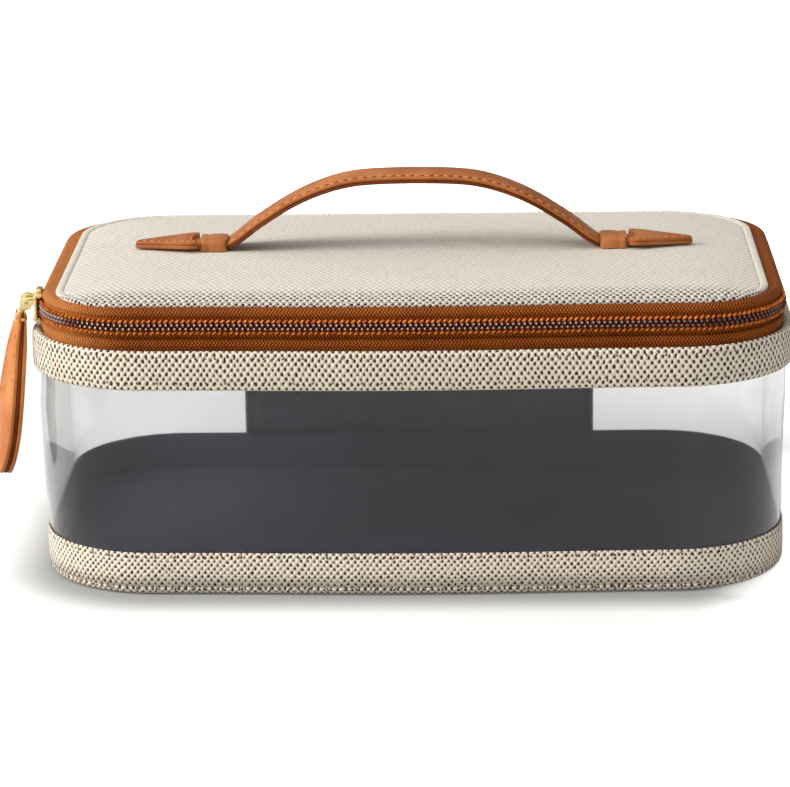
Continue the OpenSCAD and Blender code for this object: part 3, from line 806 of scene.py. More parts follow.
# %% Band lining
bm = strip_round([(-TAPE_T, BAND_LOW + 0.3 * MM), (-TAPE_T, BAND_TOP - 1.2 * MM)], ZIP_PLAN)
band_lining = piece("band_lining", bm, "case", lining, ["top_band_lining"])
thicken(band_lining, LINING_T)

# %% [markdown]
# ## The zip
#
# Two woven tapes carry two rows of coil. The lower tape stands up from the band, and the
# upper one curls in under the lid, which gives the rounded shoulder above the teeth. The
# lower one has a shallow groove beside the coil, where the stitching pulls it in.

# %% Tapes
TURN_R = 2.4 * MM
COIL_HALF = 2.7 * MM
TURN_Z = heights("zip_tape_upper")[1] - TURN_R
section = [(0.0, heights("zip_tape_lower")[0])]
section += in_mm(
    [(0.0, -2.7), (0.35, -1.3), (0.65, 0.3), (0.8, 1.6), (0.5, 2.3), (-0.75, 2.75), (-0.75, 3.3)], BAND_TOP
)
section += [(-0.3 * MM, ZIP_MID - COIL_HALF), (0.0, ZIP_MID - 0.02 * MM)]
bm = strip_round(section, ZIP_PLAN)
tape_lower = piece("zip_tape_below", bm, "case", zip_tape, ["zip_tape_lower"])
section = in_mm([(0.0, 0.02)], ZIP_MID) + in_mm([(-0.3, 0.1), (-0.3, 0.5)], ZIP_MID + COIL_HALF)
section += in_mm([(0.3, 0.5)], TURN_Z) + arc((-TURN_R + 0.4 * MM, TURN_Z + 0.5 * MM), TURN_R, 12, 82, 6)
bm = strip_round(section + [(-TURN_R - 8.6 * MM, TURN_Z + TURN_R - 0.02 * MM)], ZIP_PLAN)
tape_upper = piece("zip_tape_above", bm, "lid", zip_tape, ["zip_tape_upper"])
for tape, width in ((tape_lower, 13.3 * MM), (tape_upper, 15.6 * MM)):
    thicken(tape, TAPE_T)

# %% Hinge strip at the rear
HINGE_T = 0.7 * MM
SIDE_X, BACK_Y = ZIP_PLAN[0] / 2 - ZIP_PLAN[2], ZIP_PLAN[1] / 2


def rear_leaf(name, section, body, node):
    bm, ring = start_section(section, lambda out, z: (SIDE_X, BACK_Y + out, z))
    walk(bm, ring, [("go", Vector((-2 * SIDE_X, 0, 0)), 0.0, 30)])
    map_cloth(bm, ridden(bm))
    leaf = thicken(piece(name, bm, body, zip_tape, [node], bowed=False), HINGE_T - 0.1 * MM)


section = [(HINGE_T, BAND_TOP - 0.1 * MM), (HINGE_T, ZIP_MID - 0.15 * MM)]
rear_leaf("hinge_leaf_below", section, "case", "hinge_strip_lower")
section = [(HINGE_T, ZIP_MID + 0.15 * MM), (HINGE_T, TURN_Z)] + arc((-TURN_R, TURN_Z), TURN_R + HINGE_T, 6, 90, 6)
rear_leaf("hinge_leaf_above", section, "lid", "hinge_strip_upper")

# %% [markdown]
# The coil is one bent nylon thread, seen from outside as a row of rounded teeth. A stitched
# cord holds it down along its outer edge. Hundreds of small shapes are needed, so each is a
# very plain ball, squeezed and leaned to make a tooth or a twist of cord. Ahead of the
# slider the two rows mesh, each tooth in the gap between two others. Behind the slider the
# rows stand apart, so there the teeth are a little shorter.

# %% Teeth and cords
TOOTH_PITCH = 1.92 * MM
slider_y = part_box("slider_body")[0][1] + 5 * MM
teeth_start = SIDE_X + ZIP_PLAN[2] * math.radians(31)
teeth_end = length_round(ZIP_PLAN) - teeth_start
open_until = SIDE_X + ZIP_PLAN[2] * math.pi / 2 + (BACK_Y - ZIP_PLAN[2]) - slider_y


def ball(bm, place, turn, size, segments, rings):
    """A ball squeezed to a size along its own axes, then turned and set at a place."""
    matrix = Matrix.Translation(place) @ turn @ Matrix.Diagonal((*[s / 2 for s in size], 1))
    bmesh.ops.create_uvsphere(bm, u_segments=segments, v_segments=rings, radius=1.0, matrix=matrix)


def coil_row(name, up, body, node):
    """One row of teeth; up is 1 for the lid's row and -1 for the case's."""
    teeth, cord = bmesh.new(), bmesh.new()
    for k in range(int((teeth_end - teeth_start) / TOOTH_PITCH)):
        distance = teeth_start + k * TOOTH_PITCH
        place, facing = round_point(distance + (0.0 if up > 0 else TOOTH_PITCH / 2), ZIP_PLAN)
        out = Vector((math.cos(facing), math.sin(facing), 0))
        turn = Matrix.Rotation(facing, 4, "Z")
        reach = 0.4 * MM if distance < open_until else -0.18 * MM
        height = 1.5 * MM - reach
        middle = Vector((0, 0, ZIP_MID + up * (reach + height / 2)))
        ball(teeth, place + out * 0.78 * MM + middle, turn, (1.75 * MM, 1.35 * MM, height), 7, 4)
        middle = Vector((0, 0, ZIP_MID + up * 1.95 * MM))
        turn = turn @ Matrix.Rotation(math.radians(-50), 4, "X")
        ball(cord, place + out * 0.6 * MM + middle, turn, (1.5 * MM, 0.95 * MM, 2.0 * MM), 7, 4)
    piece(name + "_teeth", teeth, body, teeth_nylon, [node], flip=False)
    piece(name + "_cord", cord, body, zip_cord, flip=False)


coil_row("zip_above", 1, "lid", "zip_teeth_upper")
coil_row("zip_below", -1, "case", "zip_teeth_lower")
print("zip runs from", round(teeth_start, 3), "to", round(teeth_end, 3), "m round")

# %% [markdown]
# ## The lid
#
# The lid's cloth is one wide sheet with rounded corners. A fine grid is cut to that outline
# by slicing it with upright planes, corner by corner. Then each vertex is raised by how far
# inside the edge it lies: first the roll at the edge, then a sewn groove, then the pad.

# %% Lid outline and crown
CROWN_Z = LID_EDGE_LOW + 1.2 * MM
CROWN = LID_TOP - CROWN_Z - 0.3 * MM
ROLL_R, GROOVE = 1.3 * MM, 2.75 * MM


def past_corner(x, y):
    """A corner's radius, and how far a point lies past the corner's centre both ways."""
    radius = LID_FRONT_R if y < 0 else LID_BACK_R
    return radius, abs(x) - (LID_HALF_X - radius), abs(y) - (LID_HALF_Y - radius)


def inside_by(x, y):
    """How far inside the lid's outline a point lies."""
    radius, dx, dy = past_corner(x, y)
    return radius - (math.hypot(dx, dy) if dx > 0 and dy > 0 else max(dx, dy))


def crown_height(inset):
    """The lid's height above its edge roll: a roll, a groove, then a soft crown."""
    roll = 0.36 * MM * math.sqrt(max(0.0, 1 - (inset / ROLL_R - 1) ** 2)) if inset < 2 * ROLL_R else 0.0
    if inset > 2.9 * MM:
        return CROWN * math.sin(min(1.0, (inset - 2.9 * MM) / (30 * MM)) * math.pi / 2) ** 0.8
    return roll - 0.25 * MM * math.exp(-(((inset - GROOVE) / (0.4 * MM)) ** 2))


def outline_away(x, y):
    """The direction straight out of the lid's outline, at a point near its edge."""
    _, dx, dy = past_corner(x, y)
    away = Vector((dx, dy, 0)).normalized() if dx > 0 and dy > 0 else Vector((dx > dy, dx <= dy, 0))
    return Vector((math.copysign(away.x, x), math.copysign(away.y, y), 0))


def lid_grid(x_segments, y_segments, inset):
    """A flat grid, sliced down to the lid's outline less an inset."""
    bm = bmesh.new()
    bmesh.ops.create_grid(bm, x_segments=x_segments, y_segments=y_segments, size=0.5)
    bmesh.ops.scale(bm, vec=(2 * (LID_HALF_X - inset), 2 * (LID_HALF_Y - inset), 1), verts=bm.verts[:])
    for side in (-1, 1):
        for end, radius in ((-1, LID_FRONT_R), (1, LID_BACK_R)):
            centre = Vector((side * (LID_HALF_X - radius), end * (LID_HALF_Y - radius), 0))
            for k in range(14):
                angle = math.radians(90 * (k + 0.5) / 14)
                away = Vector((side * math.cos(angle), end * math.sin(angle), 0))
                edge = centre + away * (radius - inset)
                geom = bm.verts[:] + bm.edges[:] + bm.faces[:]
                bmesh.ops.bisect_plane(bm, geom=geom, plane_co=edge, plane_no=away, clear_outer=True)
    return bm


def step_out(bm, ring, across, down=0.0):
    """Extrudes the outer ring of edges outward and down; the cloth's flat place follows."""
    verts, ring = grow(bm, ring)
    flat_x, flat_y = bm.verts.layers.float["flat_x"], bm.verts.layers.float["flat_y"]
    for v in verts:
        away = outline_away(v.co.x, v.co.y)
        v.co += away * across - Vector((0, 0, down))
        v[flat_x] += away.x * math.hypot(across, down)
        v[flat_y] += away.y * math.hypot(across, down)
    return ring


# %% Lid cloth
bm = lid_grid(96, 56, 3.3 * MM)
flat_x, flat_y = bm.verts.layers.float.new("flat_x"), bm.verts.layers.float.new("flat_y")
for v in bm.verts:
    v[flat_x], v[flat_y] = v.co.x, v.co.y
top_faces = set(bm.faces)
ring = [e for e in bm.edges if e.is_boundary]
for across in (0.35, 0.25, 0.25, 0.35, 0.5, 0.55, 0.45, 0.35, 0.25):
    ring = step_out(bm, ring, across * MM)
for v in bm.verts:
    v.co.z = CROWN_Z + crown_height(inside_by(v.co.x, v.co.y))
for across, down in in_mm([(0.12, 0.4), (0.0, 0.45), (-0.25, 0.35), (-2.2, 0.0)]):
    ring = step_out(bm, ring, across, down)
map_cloth(bm, lambda v: (v[flat_x], v[flat_y]))
for face in bm.faces:
    face.material_index = 0 if face in top_faces else 1
lid_cloth = piece("lid_cloth", bm, "lid", canvas_lid, ["lid_canvas"], sharp=60)
lid_cloth.data.materials.append(canvas_edge)
thicken(lid_cloth, 0.5 * MM)

# %% Lid lining
bm = lid_grid(30, 18, 0.5 * MM)
bmesh.ops.translate(bm, vec=(0, 0, heights("lid_lining")[0]), verts=bm.verts[:])
bmesh.ops.reverse_faces(bm, faces=bm.faces[:])
lid_lining = piece("lid_lining_cloth", bm, "lid", lining, ["lid_lining"], flip=False)
thicken(lid_lining, LINING_T)

# %% [markdown]
# ## The handle
#
# The handle is an arch of two leathers with padding between them. Seen from the side it is
# a wide arc over the top, a tighter arc at each shoulder and a straight leg, all tangent, so
# a section can be carried along it just as round the case. The upper leather is crowned
# over the padding and flat at its stitched edges.

# %% Handle curve
HANDLE_Y = STRAP_LOW[1] + 8 * MM
STRAP_END_X, STRAP_END_Z = 64.44 * MM, LID_TOP + 0.7 * MM
RISE = STRAP_HIGH[2] - 1.3 * MM - STRAP_END_Z
CREST_Z = STRAP_END_Z + RISE
LEG_ANGLE = 1.65 * math.atan(RISE / STRAP_END_X)
TOP_ANGLE = 0.24 * LEG_ANGLE
TOP_R = 2 * STRAP_END_X
sin_leg, cos_leg = math.sin(LEG_ANGLE), math.cos(LEG_ANGLE)
sin_top, cos_top = math.sin(TOP_ANGLE), math.cos(TOP_ANGLE)
run_x, run_z = STRAP_END_X - TOP_R * sin_top, RISE - TOP_R * (1 - cos_top)
arc_x, arc_z = sin_leg - sin_top, cos_top - cos_leg
spread = arc_x * sin_leg - arc_z * cos_leg
SHOULDER_R = (run_x * sin_leg - run_z * cos_leg) / spread
LEG = (arc_x * run_z - arc_z * run_x) / spread
SHOULDER_X, SHOULDER_Z = (TOP_R - SHOULDER_R) * sin_top, CREST_Z - TOP_R + (TOP_R - SHOULDER_R) * cos_top
HANDLE_LENGTH = 2 * (LEG + (LEG_ANGLE - TOP_ANGLE) * SHOULDER_R + TOP_ANGLE * TOP_R)
END_R = 3.4 * MM
END_BEND = END_R * LEG_ANGLE
END_RUN = END_BEND + 2.0 * MM
print("handle is", round(HANDLE_LENGTH / MM, 1), "mm over its underside")


def past_end(beyond, lift):
    """Beyond the arch's foot the strap bends level and runs into its keeper: (x, z) there."""
    bend = min(beyond, END_BEND)
    angle = LEG_ANGLE - bend / END_R
    x = STRAP_END_X + END_R * sin_leg - (END_R - lift) * math.sin(angle) + (beyond - bend)
    return x, STRAP_END_Z + END_R * cos_leg - (END_R - lift) * math.cos(angle)


def handle_angle(distance):
    """The handle's slope at a distance from its left end: negative on the left."""
    from_top = distance - HANDLE_LENGTH / 2
    side, far = math.copysign(1, from_top), abs(from_top)
    if far < TOP_ANGLE * TOP_R:
        return side * far / TOP_R
    return side * min(LEG_ANGLE, TOP_ANGLE + (far - TOP_ANGLE * TOP_R) / SHOULDER_R)


def handle_point(distance, lift, across):
    """A place on the handle: so far along, lifted off its underside, and across it."""
    a = handle_angle(distance)
    side, turn = math.copysign(1, a), abs(a)
    from_top = abs(distance - HANDLE_LENGTH / 2)
    if from_top > HANDLE_LENGTH / 2:
        x, z = past_end(from_top - HANDLE_LENGTH / 2, lift)
    elif turn <= TOP_ANGLE:
        x, z = (TOP_R + lift) * math.sin(turn), CREST_Z - TOP_R + (TOP_R + lift) * math.cos(turn)
    else:
        run = max(0.0, from_top - TOP_ANGLE * TOP_R - (LEG_ANGLE - TOP_ANGLE) * SHOULDER_R)
        x = SHOULDER_X + (SHOULDER_R + lift) * math.sin(turn) + run * math.cos(turn)
        z = SHOULDER_Z + (SHOULDER_R + lift) * math.cos(turn) - run * math.sin(turn)
    return Vector((side * x, HANDLE_Y + across, z))


def strap_taper(distance):
    """Along the strap: its width, its padding, and how far a pulled slope rides above the arch."""
    end = min(distance, HANDLE_LENGTH - distance)
    wide = 0.7 + 0.3 * ease(end, -END_RUN, 12 * MM - END_RUN)
    pad = ease(end, 0, 9 * MM) * (0.2 + 0.42 * ease(end, 14 * MM, 52 * MM))
    return wide, pad, 0.85 * MM * ease(end, 2 * MM, 14 * MM) * (1 - ease(end, 44 * MM, 68 * MM))


# %% Handle leathers
PAD_FROM = 2.6 * MM


def mirrored(half):
    """The left half of a section, from its right half."""
    return [(-across, lift) for across, lift in reversed(half) if across]


def strap(name, half, stands_for, material):
    """A closed section of (across, lift) points carried along the handle, narrower at its ends."""
    section = half + mirrored(half)
    bm = bmesh.new()
    across_of, lift_of = bm.verts.layers.float.new("across"), bm.verts.layers.float.new("lift")
    first, ring = closed_ring(bm, [(0, across, lift) for across, lift in section])
    for v, point in zip(first, section):
        v[across_of], v[lift_of] = point
    lead_in = [-END_RUN, 1 * MM - END_RUN, 2 * MM - END_RUN] + [-END_BEND * k / 5 for k in (4, 3, 2, 1)]
    stops = lead_in + [HANDLE_LENGTH * k / 80 for k in range(81)] + [HANDLE_LENGTH - d for d in reversed(lead_in)]
    verts = first
    for k, distance in enumerate(stops):
        if k:
            verts, ring = grow(bm, ring)
        wide, pad, ride = strap_taper(distance)
        thin = 0.9 if distance < -1 * MM or distance > HANDLE_LENGTH + 1 * MM else 1.0
        for v in verts:
            lift = min(v[lift_of], PAD_FROM) + max(0.0, v[lift_of] - PAD_FROM) * pad
            v.co = handle_point(distance, lift * thin + ride, v[across_of] * wide)
    for face in bm.faces:
        # Painted shade: the sewn groove gets the dark edge leather, for the shade between the stitches.
        groove = all(6.7 * MM < abs(v[across_of]) < 7.45 * MM and 2.7 * MM < v[lift_of] < 3.3 * MM for v in face.verts)
        face.material_index = 1 if groove else 0
    fill(bm, first, verts)
    obj = piece(name, bm, "lid", material, stands_for, bowed=False, sharp=50)
    obj.data.materials.append(edge_leather_and_groove_shade)
    return obj


under = in_mm([(0.0, 0.0), (7.2, 0.0), (7.75, 0.2), (8.0, 0.65), (7.8, 1.12), (7.3, 1.3)])
over = in_mm([
    (0.0, 1.3), (7.3, 1.3), (7.8, 1.45), (8.0, 1.9), (7.9, 2.35), (7.55, 2.65), (7.4, 2.72), (7.15, 2.78),
    (6.85, 3.05), (6.75, 3.25), (6.3, 3.65), (5.6, 4.0), (4.3, 4.32), (2.3, 4.47), (0.0, 4.5),
])
strap_lower = strap("handle_under_leather", under, ["handle_strap_lower"], edge_leather_and_groove_shade)
strap_upper = strap("handle_over_leather", over, ["handle_strap_upper", "handle_padding"], leather)

# %% [markdown]
# Stitches are short and slightly sunk at their ends. Each is one squeezed ball, laid along
# the line and tipped to its slope.

# %% Handle stitches
STITCH = 3.3 * MM


def stitch(bm, place, along, outward, size):
    """One stitch of (length, width, height) in mm, laid along a face that looks outward."""
    along = along.normalized()
    side = outward.cross(along).normalized()
    turn = Matrix((side.cross(along), side, along)).transposed().to_4x4()
    ball(bm, place, turn, [s * MM for s in reversed(size)], 8, 6)


bm = bmesh.new()
for row, height in ((-1, 2.5 * MM), (1, 2.25 * MM)):
    for k in range(int((HANDLE_LENGTH - 4 * MM) / STITCH)):
        distance = 2.6 * MM + k * STITCH
        a = handle_angle(distance)
        wide, pad, ride = strap_taper(distance)
        place = handle_point(distance, height + 0.42 * MM * pad + ride, row * wide * 7.08 * MM)
        along, outward = Vector((math.cos(a), 0.14 * row, -math.sin(a))), Vector((math.sin(a), row * 0.9, math.cos(a)))
        stitch(bm, place, along, outward, (2.45, 1.1, 0.9))
handle_stitches = piece("handle_stitches", bm, "lid", thread, bowed=False, flip=False)
for part in (strap_lower, strap_upper, handle_stitches):
    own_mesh(part)

# %% [markdown]
# ## Keepers and sliding ends
#
# The strap does not stop at the lid. Each end goes through a low leather loop, the keeper,
# and widens into an arrow that cannot pull back through. When the handle is pushed flat, the
# arrows slide outward. The keeper is an upturned U, carried along the strap and pinched.

# %% Keepers
MOUTH_X, KEEPER_LEN = 66.3 * MM, 9.5 * MM
KEEPER_RISE = heights("keeper_left")[1] - LID_TOP
SWELL = (0.94, 1.0, 1.02, 1.025, 1.02, 1.01, 1.0, 0.93, 0.99, 1.0, 0.94)


def keeper(name, side, node):
    outside = in_mm([(7.4, 0.0), (7.1, 1.4), (6.9, 2.6), (6.2, 3.5), (5.0, KEEPER_RISE / MM), (2.4, 3.95)])
    inner = in_mm([(2.4, 2.75), (4.8, 2.7), (5.7, 2.3), (5.85, 1.2), (5.85, 0.0)])
    section = outside + mirrored(outside) + mirrored(inner) + inner
    bm = bmesh.new()
    verts, ring = closed_ring(bm, [(side * MOUTH_X, HANDLE_Y + y, LID_TOP + z) for y, z in section])
    rings = [verts]
    for _ in SWELL[1:]:
        verts, ring = grow(bm, ring)
        bmesh.ops.translate(bm, verts=verts, vec=(side * KEEPER_LEN / (len(SWELL) - 1), 0, 0))
        rings.append(verts)
    for factor, verts in zip(SWELL, rings):
        for v in verts:
            y, z = v.co.y - HANDLE_Y, v.co.z - LID_TOP
            if math.hypot(y / 5.9, z / 2.78) > 1.05 * MM:
                v.co.y, v.co.z = HANDLE_Y + y * factor, LID_TOP + z * factor
    fill(bm, rings[0], rings[-1])
    piece(name, bm, "lid", leather, [node], bowed=False, sharp=60)


keeper("keeper_loop_left", -1, "keeper_left")
keeper("keeper_loop_right", 1, "keeper_right")

# %% [markdown]
# An arrow end is two leathers sewn together: a flat one below and a slightly domed one
# above. Each is a stack of rings with the same outline, from its underside to its top, and
# a short neck carries the pair back through the keeper.

# %% Arrow ends
ARROW_X, ARROW_LEN = MOUTH_X + KEEPER_LEN + 1 * MM, 22.5 * MM
REST_Z = heights("handle_end_left")[0]
ARROW_HALF = [
    (2.0, 0.0), (1.6, 4.0), (-0.2, 6.9), (0.1, 8.4), (1.4, 9.0), (3.4, 8.6),
    (9.0, 6.6), (15.0, 4.3), (20.7, 2.1), (22.0, 1.5), (22.5, 0.6),
]
ARROW_LOW = [(0.96, 0.0), (1.0, 0.28), (1.0, 1.05), (0.965, 1.32)]
ARROW_HIGH = [
    (0.95, 1.34), (0.985, 1.6), (0.985, 2.2), (0.95, 2.5), (0.90, 2.58), (0.86, 2.42),
    (0.82, 2.4), (0.77, 2.6), (0.6, 2.82), (0.35, 2.95), (0.12, 2.98),
]


def soft_box(bm, low, high, radius, segments=3):
    """A block between two corners with every edge rounded."""
    size = [h - l for l, h in zip(low, high)]
    verts = block(bm, [(l + h) / 2 for l, h in zip(low, high)], size)
    round_edges(bm, list({e for v in verts for e in v.link_edges}), min(radius, min(size) * 0.45), segments)


def stack(bm, outline, centre, rings):
    """A closed leather: the outline scaled about a centre, ring on ring from (scale, height) in mm."""
    (cx, cy), (scale, z) = centre, rings[0]
    first, ring = closed_ring(bm, [(cx + (x - cx) * scale, cy + (y - cy) * scale, REST_Z + z * MM) for x, y in outline])
    for (last, low), (scale, z) in zip(rings, rings[1:]):
        verts, ring = grow(bm, ring)
        bmesh.ops.translate(bm, verts=verts, vec=(-cx, -cy, (z - low) * MM))
        bmesh.ops.scale(bm, verts=verts, vec=(scale / last, scale / last, 1))
        bmesh.ops.translate(bm, verts=verts, vec=(cx, cy, 0))
    fill(bm, first, verts)


def arrow_slope(x):
    """How much an arrow is lifted at a distance out: it leaves its keeper high and droops to its tip."""
    return 1.2 * MM * (ARROW_X + ARROW_LEN - abs(x)) / ARROW_LEN - 0.25 * MM


def arrow_end(name, side, node):
    half = [(side * (ARROW_X + x * MM), y * MM) for x, y in ARROW_HALF]
    outline = [(x, HANDLE_Y + y) for x, y in half] + [(x, HANDLE_Y - y) for x, y in reversed(half) if y]
    middle_x = side * (ARROW_X + 8.6 * MM)
    bm = bmesh.new()
    stack(bm, outline, (middle_x, HANDLE_Y), ARROW_LOW)
    stack(bm, outline, (middle_x, HANDLE_Y), ARROW_HIGH)
    for v in bm.verts:
        v.co.z += arrow_slope(v.co.x)
    neck = sorted((side * (MOUTH_X + 2.4 * MM), side * (ARROW_X + 4 * MM)))
    low, high = zip(neck, (HANDLE_Y - 5.5 * MM, HANDLE_Y + 5.5 * MM), (REST_Z, REST_Z + 2 * MM))
    soft_box(bm, low, high, 0.3 * MM, 2)
    piece(name, bm, node, leather, [node], bowed=False, sharp=50)
    bm = bmesh.new()
    for edge, height in ((-1, 2.58 * MM), (1, 2.3 * MM)):
        ends = [(middle_x + (x - middle_x) * 0.84, HANDLE_Y + edge * y * 0.84, 0) for x, y in (half[4], half[8])]
        start, stop = map(Vector, ends)
        count = int((stop - start).length / (2.5 * MM))
        for k in range(count + 1):
            spot = start.lerp(stop, k / count)
            spot.z = REST_Z + height + arrow_slope(spot.x)
            stitch(bm, spot, stop - start, Vector((0, 0, 1)), (1.9, 0.9, 0.7))
    piece(name + "_stitches", bm, node, thread, bowed=False, flip=False)


arrow_end("handle_arrow_left", -1, "handle_end_left")
arrow_end("handle_arrow_right", 1, "handle_end_right")

# %% [markdown]
# ## Slider, link and leather pull
#
# The slider is a small cast body that straddles the zip: an outer plate with lips that curl
# over the coil, an inner plate, and a bridge that the link hangs from.

# %% Slider body
low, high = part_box("slider_body")
PLATE_OUT, PLATE_IN, INNER = low[0], -129.15 * MM, high[0]
Y0, Y1 = slider_y - 5 * MM, slider_y + 5 * MM


def cast(bm, x, y, z, radius, segments=3):
    """A rounded block of the slider, its z span in mm from the middle of the zip."""
    low, high = zip(x, y, [ZIP_MID + height * MM for height in z])
    soft_box(bm, low, high, radius, segments)


bm = bmesh.new()
cast(bm, (PLATE_OUT, PLATE_IN), (Y0, Y1), (-4.3, 4.3), 0.5 * MM)
cast(bm, (PLATE_OUT + 0.1 * MM, PLATE_IN + 1.9 * MM), (Y0 + 0.3 * MM, Y1 - 0.5 * MM), (3.4, 4.75), 0.5 * MM)
cast(bm, (PLATE_OUT + 0.3 * MM, PLATE_IN + 1.6 * MM), (Y0 + 1.2 * MM, Y1 - 2.2 * MM), (4.2, 6.3), 0.9 * MM)
cast(bm, (PLATE_OUT - 0.5 * MM, PLATE_IN + 1.1 * MM), (Y0 + 0.3 * MM, Y1 - 0.5 * MM), (-4.9, -3.6), 0.5 * MM)
cast(bm, (INNER - 1.0 * MM, INNER), (Y0, Y1), (-3.5, 3.5), 0.3 * MM)
cast(bm, (PLATE_IN - 0.3 * MM, INNER - 0.7 * MM), (Y1 - 3.5 * MM, Y1), (-0.2, 0.2), 0.1 * MM, 2)
piece("slider_casting", bm, "slider", gold, ["slider_body"], bowed=False, sharp=30)

# %% Bridge, link and pin
BAR = Vector((-133.05 * MM, slider_y, ZIP_MID + 2.2 * MM))
PIN = Vector((-135.65 * MM, slider_y, BAR.z - 6.8 * MM))


def round_bar(bm, radius, length, matrix):
    bmesh.ops.create_cone(bm, cap_ends=True, segments=20, radius1=radius, radius2=radius, depth=length, matrix=matrix)


def ring_plate(bm, centre, outer, hole, thickness):
    """A flat ring that stands in the XZ plane, with rounded rims; all its sizes are in mm."""
    half, rim = thickness / 2, outer - 0.2
    section = in_mm([(hole, -half), (hole, half), (rim, half), (outer, half / 2), (outer, -half / 2), (rim, -half)])
    verts, edges = closed_ring(bm, [centre + Vector((out, y, 0)) for out, y in section])
    bmesh.ops.spin(
        bm, geom=verts + edges, cent=centre, axis=(0, 1, 0), angle=2 * math.pi, steps=28,
        use_merge=True, use_normal_flip=False,
    )


bm = bmesh.new()
round_bar(bm, 1.0 * MM, 8.6 * MM, Matrix.Translation(BAR) @ Matrix.Rotation(math.pi / 2, 4, "X"))
for y in (Y0 + 0.7 * MM, Y1 - 2.3 * MM):
    low, high = (BAR.x - 1.0 * MM, y, BAR.z - 1.25 * MM), (PLATE_OUT + 0.5 * MM, y + 1.6 * MM, BAR.z + 1.35 * MM)
    soft_box(bm, low, high, 0.55 * MM)
piece("slider_bridge_bar", bm, "slider", gold, ["slider_bridge"], bowed=False, sharp=30)

bm = bmesh.new()
ring_plate(bm, BAR, 2.4, 1.15, 1.6)
ring_plate(bm, PIN, 2.3, 1.4, 1.6)
ring_plate(bm, Vector((-133.7 * MM, slider_y, 94.6 * MM)), 2.2, 0.25, 1.5)
low, high = zip((-136.3 * MM, -134.1 * MM), (slider_y - 0.7 * MM, slider_y + 0.7 * MM), (91.0 * MM, 93.6 * MM))
soft_box(bm, low, high, 0.35 * MM)
piece("pull_link_plate", bm, "pull_link", gold, ["pull_link"], bowed=False, sharp=40)

# %% [markdown]
# The pull is three leathers, glued and sewn: two faces and a middle. It is drawn flat, down
# its own Y, then turned and leaned to hang from the pin.

# %% Leather pull
PULL_LEN, PULL_HALF, FORK_HALF = 55.5 * MM, 8.8 * MM, 3.4 * MM
WIDE_Y = PULL_LEN * 0.63
NOTCH = 2.35 * MM
FACE_Z, CORE_Z = 2.2 * MM, 0.75 * MM
TWIST, LEAN = math.radians(23), math.radians(8.0)
lay_down = Matrix(((0, 0, -1), (1, 0, 0), (0, -1, 0)))
pull_turn = Matrix.Rotation(TWIST, 3, "Z") @ Matrix.Rotation(LEAN, 3, "Y") @ lay_down
pull_place = Matrix.Translation(PIN) @ pull_turn.to_4x4()


def pull_half_width(y):
    """Half the pull's width at a distance below its pin."""
    if y < WIDE_Y:
        t = (y + 2 * MM) / (WIDE_Y + 2 * MM)
        return FORK_HALF + (PULL_HALF - FORK_HALF) * math.sin(max(0.0, t) * math.pi / 2) ** 1.5
    t = (y - WIDE_Y) / (PULL_LEN - WIDE_Y)
    return PULL_HALF * max(0.0, 1 - t * t) ** 0.72


def pull_depth(y, z):
    """A depth through the pull, where it is pared thin round the pin and bowed below it."""
    thin = 0.58 + 0.42 * ease(y, -2.6 * MM, 11.4 * MM)
    return z * thin + 0.5 * MM * math.sin(math.pi * max(0.0, y) / PULL_LEN)


def pull_layer(name, low, high, shrink, material, node):
    """One leather of the pull between two depths, rounded at its edges."""
    rows = [(3 * k - 2.6) * MM for k in range(1, 19)]
    tip = [PULL_LEN - d * MM for d in (1.2, 0.4, 0.05)]
    outline = [(NOTCH, 3.4 * MM), (NOTCH, -1.6 * MM), (NOTCH + 0.3 * MM, -2.6 * MM)]
    outline += [(pull_half_width(y) - shrink, y) for y in rows + tip] + [(0.0, PULL_LEN - shrink)]
    bm = bmesh.new()
    verts = [bm.verts.new((x, y, low)) for x, y in outline + mirrored(outline)]
    face = bmesh.ops.contextual_create(bm, geom=verts)["faces"]
    raised = bmesh.ops.extrude_face_region(bm, geom=face)["geom"]
    raised = [g for g in raised if isinstance(g, bmesh.types.BMVert)]
    bmesh.ops.translate(bm, verts=raised, vec=(0, 0, high - low))
    round_edges(bm, [e for e in bm.edges if abs(e.verts[0].co.z - e.verts[1].co.z) < 1e-6], 0.4 * MM)
    for y in rows:
        geom = bm.verts[:] + bm.edges[:] + bm.faces[:]
        bmesh.ops.bisect_plane(bm, geom=geom, plane_co=(0, y, 0), plane_no=(0, 1, 0))
    for v in bm.verts:
        v.co.z = pull_depth(v.co.y, v.co.z)
    bmesh.ops.recalc_face_normals(bm, faces=bm.faces[:])
    bmesh.ops.transform(bm, matrix=pull_place, verts=bm.verts[:])
    piece(name, bm, "pull_tab", material, [node], bowed=False, flip=False, sharp=50)


pull_layer("pull_face", CORE_Z, FACE_Z, 0.0, lit_pull_leather, "pull_front")
pull_layer("pull_middle", -CORE_Z, CORE_Z, 0.12 * MM, edge_leather_and_groove_shade, "pull_core")
pull_layer("pull_reverse", -FACE_Z, -CORE_Z, 0.0, lit_pull_leather, "pull_back")
bm = bmesh.new()
round_bar(bm, 0.7 * MM, 6.4 * MM, pull_place @ Matrix.Rotation(math.pi / 2, 4, "Y"))
piece("pull_pin_bar", bm, "pull_tab", gold, ["pull_pin"], bowed=False, sharp=30)


# %% Pull stitches
def pull_stitch(bm, x, y, along, look, size):
    """A stitch on the pull's face, where look is 1, or on its reverse, where it is -1."""
    place = pull_place @ Vector((x, y, pull_depth(y, look * FACE_Z)))
    stitch(bm, place, pull_turn @ Vector(along), pull_turn @ Vector((0, 0, look)), size)


